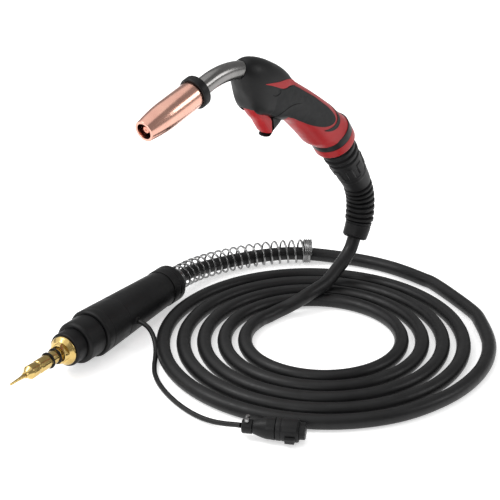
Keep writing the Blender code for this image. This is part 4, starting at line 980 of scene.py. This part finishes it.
def make_plug():
    def on_plug(name, profile, node, body, radius=0.4):
        piece = turned(name, profile, PLUG_REAR, PLUG_DIRECTION, BLACK, 96, radius)
        return place(piece, body, "black_plastic", node)
    on_plug("clamp_skin", [
        (0.0, 0.0), (0.0, 5.2), (1.2, 6.2), (9.0, 6.2), (9.0, 0.0)], "plug_clamp", "cable_set")
    on_plug("backshell_skin", [
        (9.3, 0.0), (9.3, 5.6), (13.0, 7.0), (17.0, 8.3), (21.0, 9.2), (28.5, 9.6), (28.5, 7.4), (30.8, 7.4),
        (30.8, 0.0)], "plug_backshell", "cable_set")
    on_plug("coupling_skin", [
        (29.0, 9.5), (33.0, 9.8), (33.4, 9.4), (34.2, 9.4), (34.6, 9.8), (47.0, PLUG_RADIUS), (48.5, 9.4),
        (48.5, 7.8), (29.0, 7.8)], "plug_coupling_ring", "coupling_ring")


def transported(points):
    """A side direction at each point that turns as little as it can."""
    dirs = tangents(points)
    side = dirs[0].cross(Vector((0, 0, 1))).normalized()
    sides = []
    for d in dirs:
        side = (side - d * side.dot(d)).normalized()
        sides.append(side)
    return dirs, sides


def make_spring():
    """The anti-kink spring: close turns at both ends, open turns between."""
    wire, per_turn = 1.05, 26  # wire radius, points in a turn
    route = smooth_points([tuple(p) for p in SPRING_ROUTE], 0.5)
    dirs, sides = transported(route)
    total = length_of(route)
    closed, tight = 4.0, 2.0 * wire + 0.12
    ends = closed * tight
    loops = round((total - 2 * ends - 2 * wire) / OPEN_PITCH)
    pitch = (total - 2 * ends - 2 * wire) / loops
    points = []
    turns = 2 * closed + loops
    for i in range(int(turns * per_turn) + 1):
        turn = i / per_turn
        if turn < closed:
            where = turn * tight
        elif turn < closed + loops:
            where = ends + (turn - closed) * pitch
        else:
            where = ends + loops * pitch + (turn - closed - loops) * tight
        where += wire
        index = min(len(route) - 1, int(where / total * (len(route) - 1)))
        angle = 2 * math.pi * turn
        lift = dirs[index].cross(sides[index])
        radius = SPRING_RADIUS - wire
        points.append(route[index] + radius * (math.cos(angle) * sides[index] + math.sin(angle) * lift))
    spring = curve_tube("spring_coils", points, wire, SPRING_STEEL, 4)
    return place(spring, "cable_set", "spring_steel", "anti_kink_spring")


make_neck()
make_nozzle()
make_hood()
make_grip()
make_rear_rings()
make_trigger()
make_relief()
make_connector()
make_plug()
make_spring()
make_power_cable()
make_control_lead()


# ---- CAD nodes that keep their shape get the detailed finishes -----------------------------------
NODE_LOOK = {"neck_conductor": TIP_COPPER, "contact_tip": TIP_COPPER, "shell_screw_1": SCREW_STEEL,
             "shell_screw_2": SCREW_STEEL, "shell_screw_3": SCREW_STEEL, "plug_clamp_screw_1": SCREW_STEEL,
             "plug_clamp_screw_2": SCREW_STEEL, "trigger_pin": SCREW_STEEL}


def dress_nodes():
    slots = {s["node"]: s["material_slot"] for s in frame["record"]["subparts"]}
    for node, obj in frame["nodes"].items():
        look = NODE_LOOK.get(node, SLOT_LOOK[slots[node]])
        if obj.material_slots:
            for slot in obj.material_slots:
                slot.material = look
        else:
            obj.data.materials.append(look)


dress_nodes()


# ---- floor, light --------------------------------------------------------------------------------
LIGHT_TARGET = (0.0, 0.0, -0.1)  # metres


def make_stage():
    m = Nodes("floor")
    cloud = m.noise(3.0, 3.0, 0.5)
    m.link(m.mix(cloud, (0.93, 0.93, 0.93), (0.95, 0.95, 0.95)), m.shader.inputs["Base Color"])
    m.set(Roughness=0.7, Emission_Color=(1.0, 1.0, 1.0, 1.0), Emission_Strength=0.5)
    size, low = 60.0, (FLOOR - 0.2) * MM
    mesh = bpy.data.meshes.new("floor")
    corners = [(-size, -size, low), (size, -size, low), (size, size, low), (-size, size, low)]
    mesh.from_pydata(corners, [], [(0, 1, 2, 3)])
    floor = bpy.data.objects.new("floor", mesh)
    mesh.materials.append(m.material)
    bpy.context.scene.collection.objects.link(floor)


def area_light(name, spot, size, power):
    data = bpy.data.lights.new(name, "AREA")
    data.energy = power
    data.size = size
    light = bpy.data.objects.new(name, data)
    light.location = spot
    aim = Vector(LIGHT_TARGET) - Vector(spot)
    light.rotation_euler = aim.to_track_quat("-Z", "Y").to_euler()
    bpy.context.scene.collection.objects.link(light)


def make_lights():
    world = bpy.data.worlds.new("world")
    world.use_nodes = True
    back = world.node_tree.nodes["Background"]
    back.inputs["Color"].default_value = (1.0, 1.0, 1.0, 1.0)
    back.inputs["Strength"].default_value = 0.36
    bpy.context.scene.world = world
    sun = bpy.data.lights.new("overhead", "SUN")
    sun.energy = 1.5
    sun.angle = math.radians(100.0)
    lamp = bpy.data.objects.new("overhead", sun)
    lamp.rotation_euler = (math.radians(-22.0), math.radians(-18.0), 0.0)
    bpy.context.scene.collection.objects.link(lamp)
    area_light("key", (-0.9, 0.9, 1.4), 0.8, 14.0)
    area_light("side", (0.9, -1.3, 0.8), 0.6, 5.0)
    area_light("front", (-1.9, -0.6, 0.7), 0.5, 5.0)


make_stage()
make_lights()

bpy.context.scene.view_settings.view_transform = "Standard"
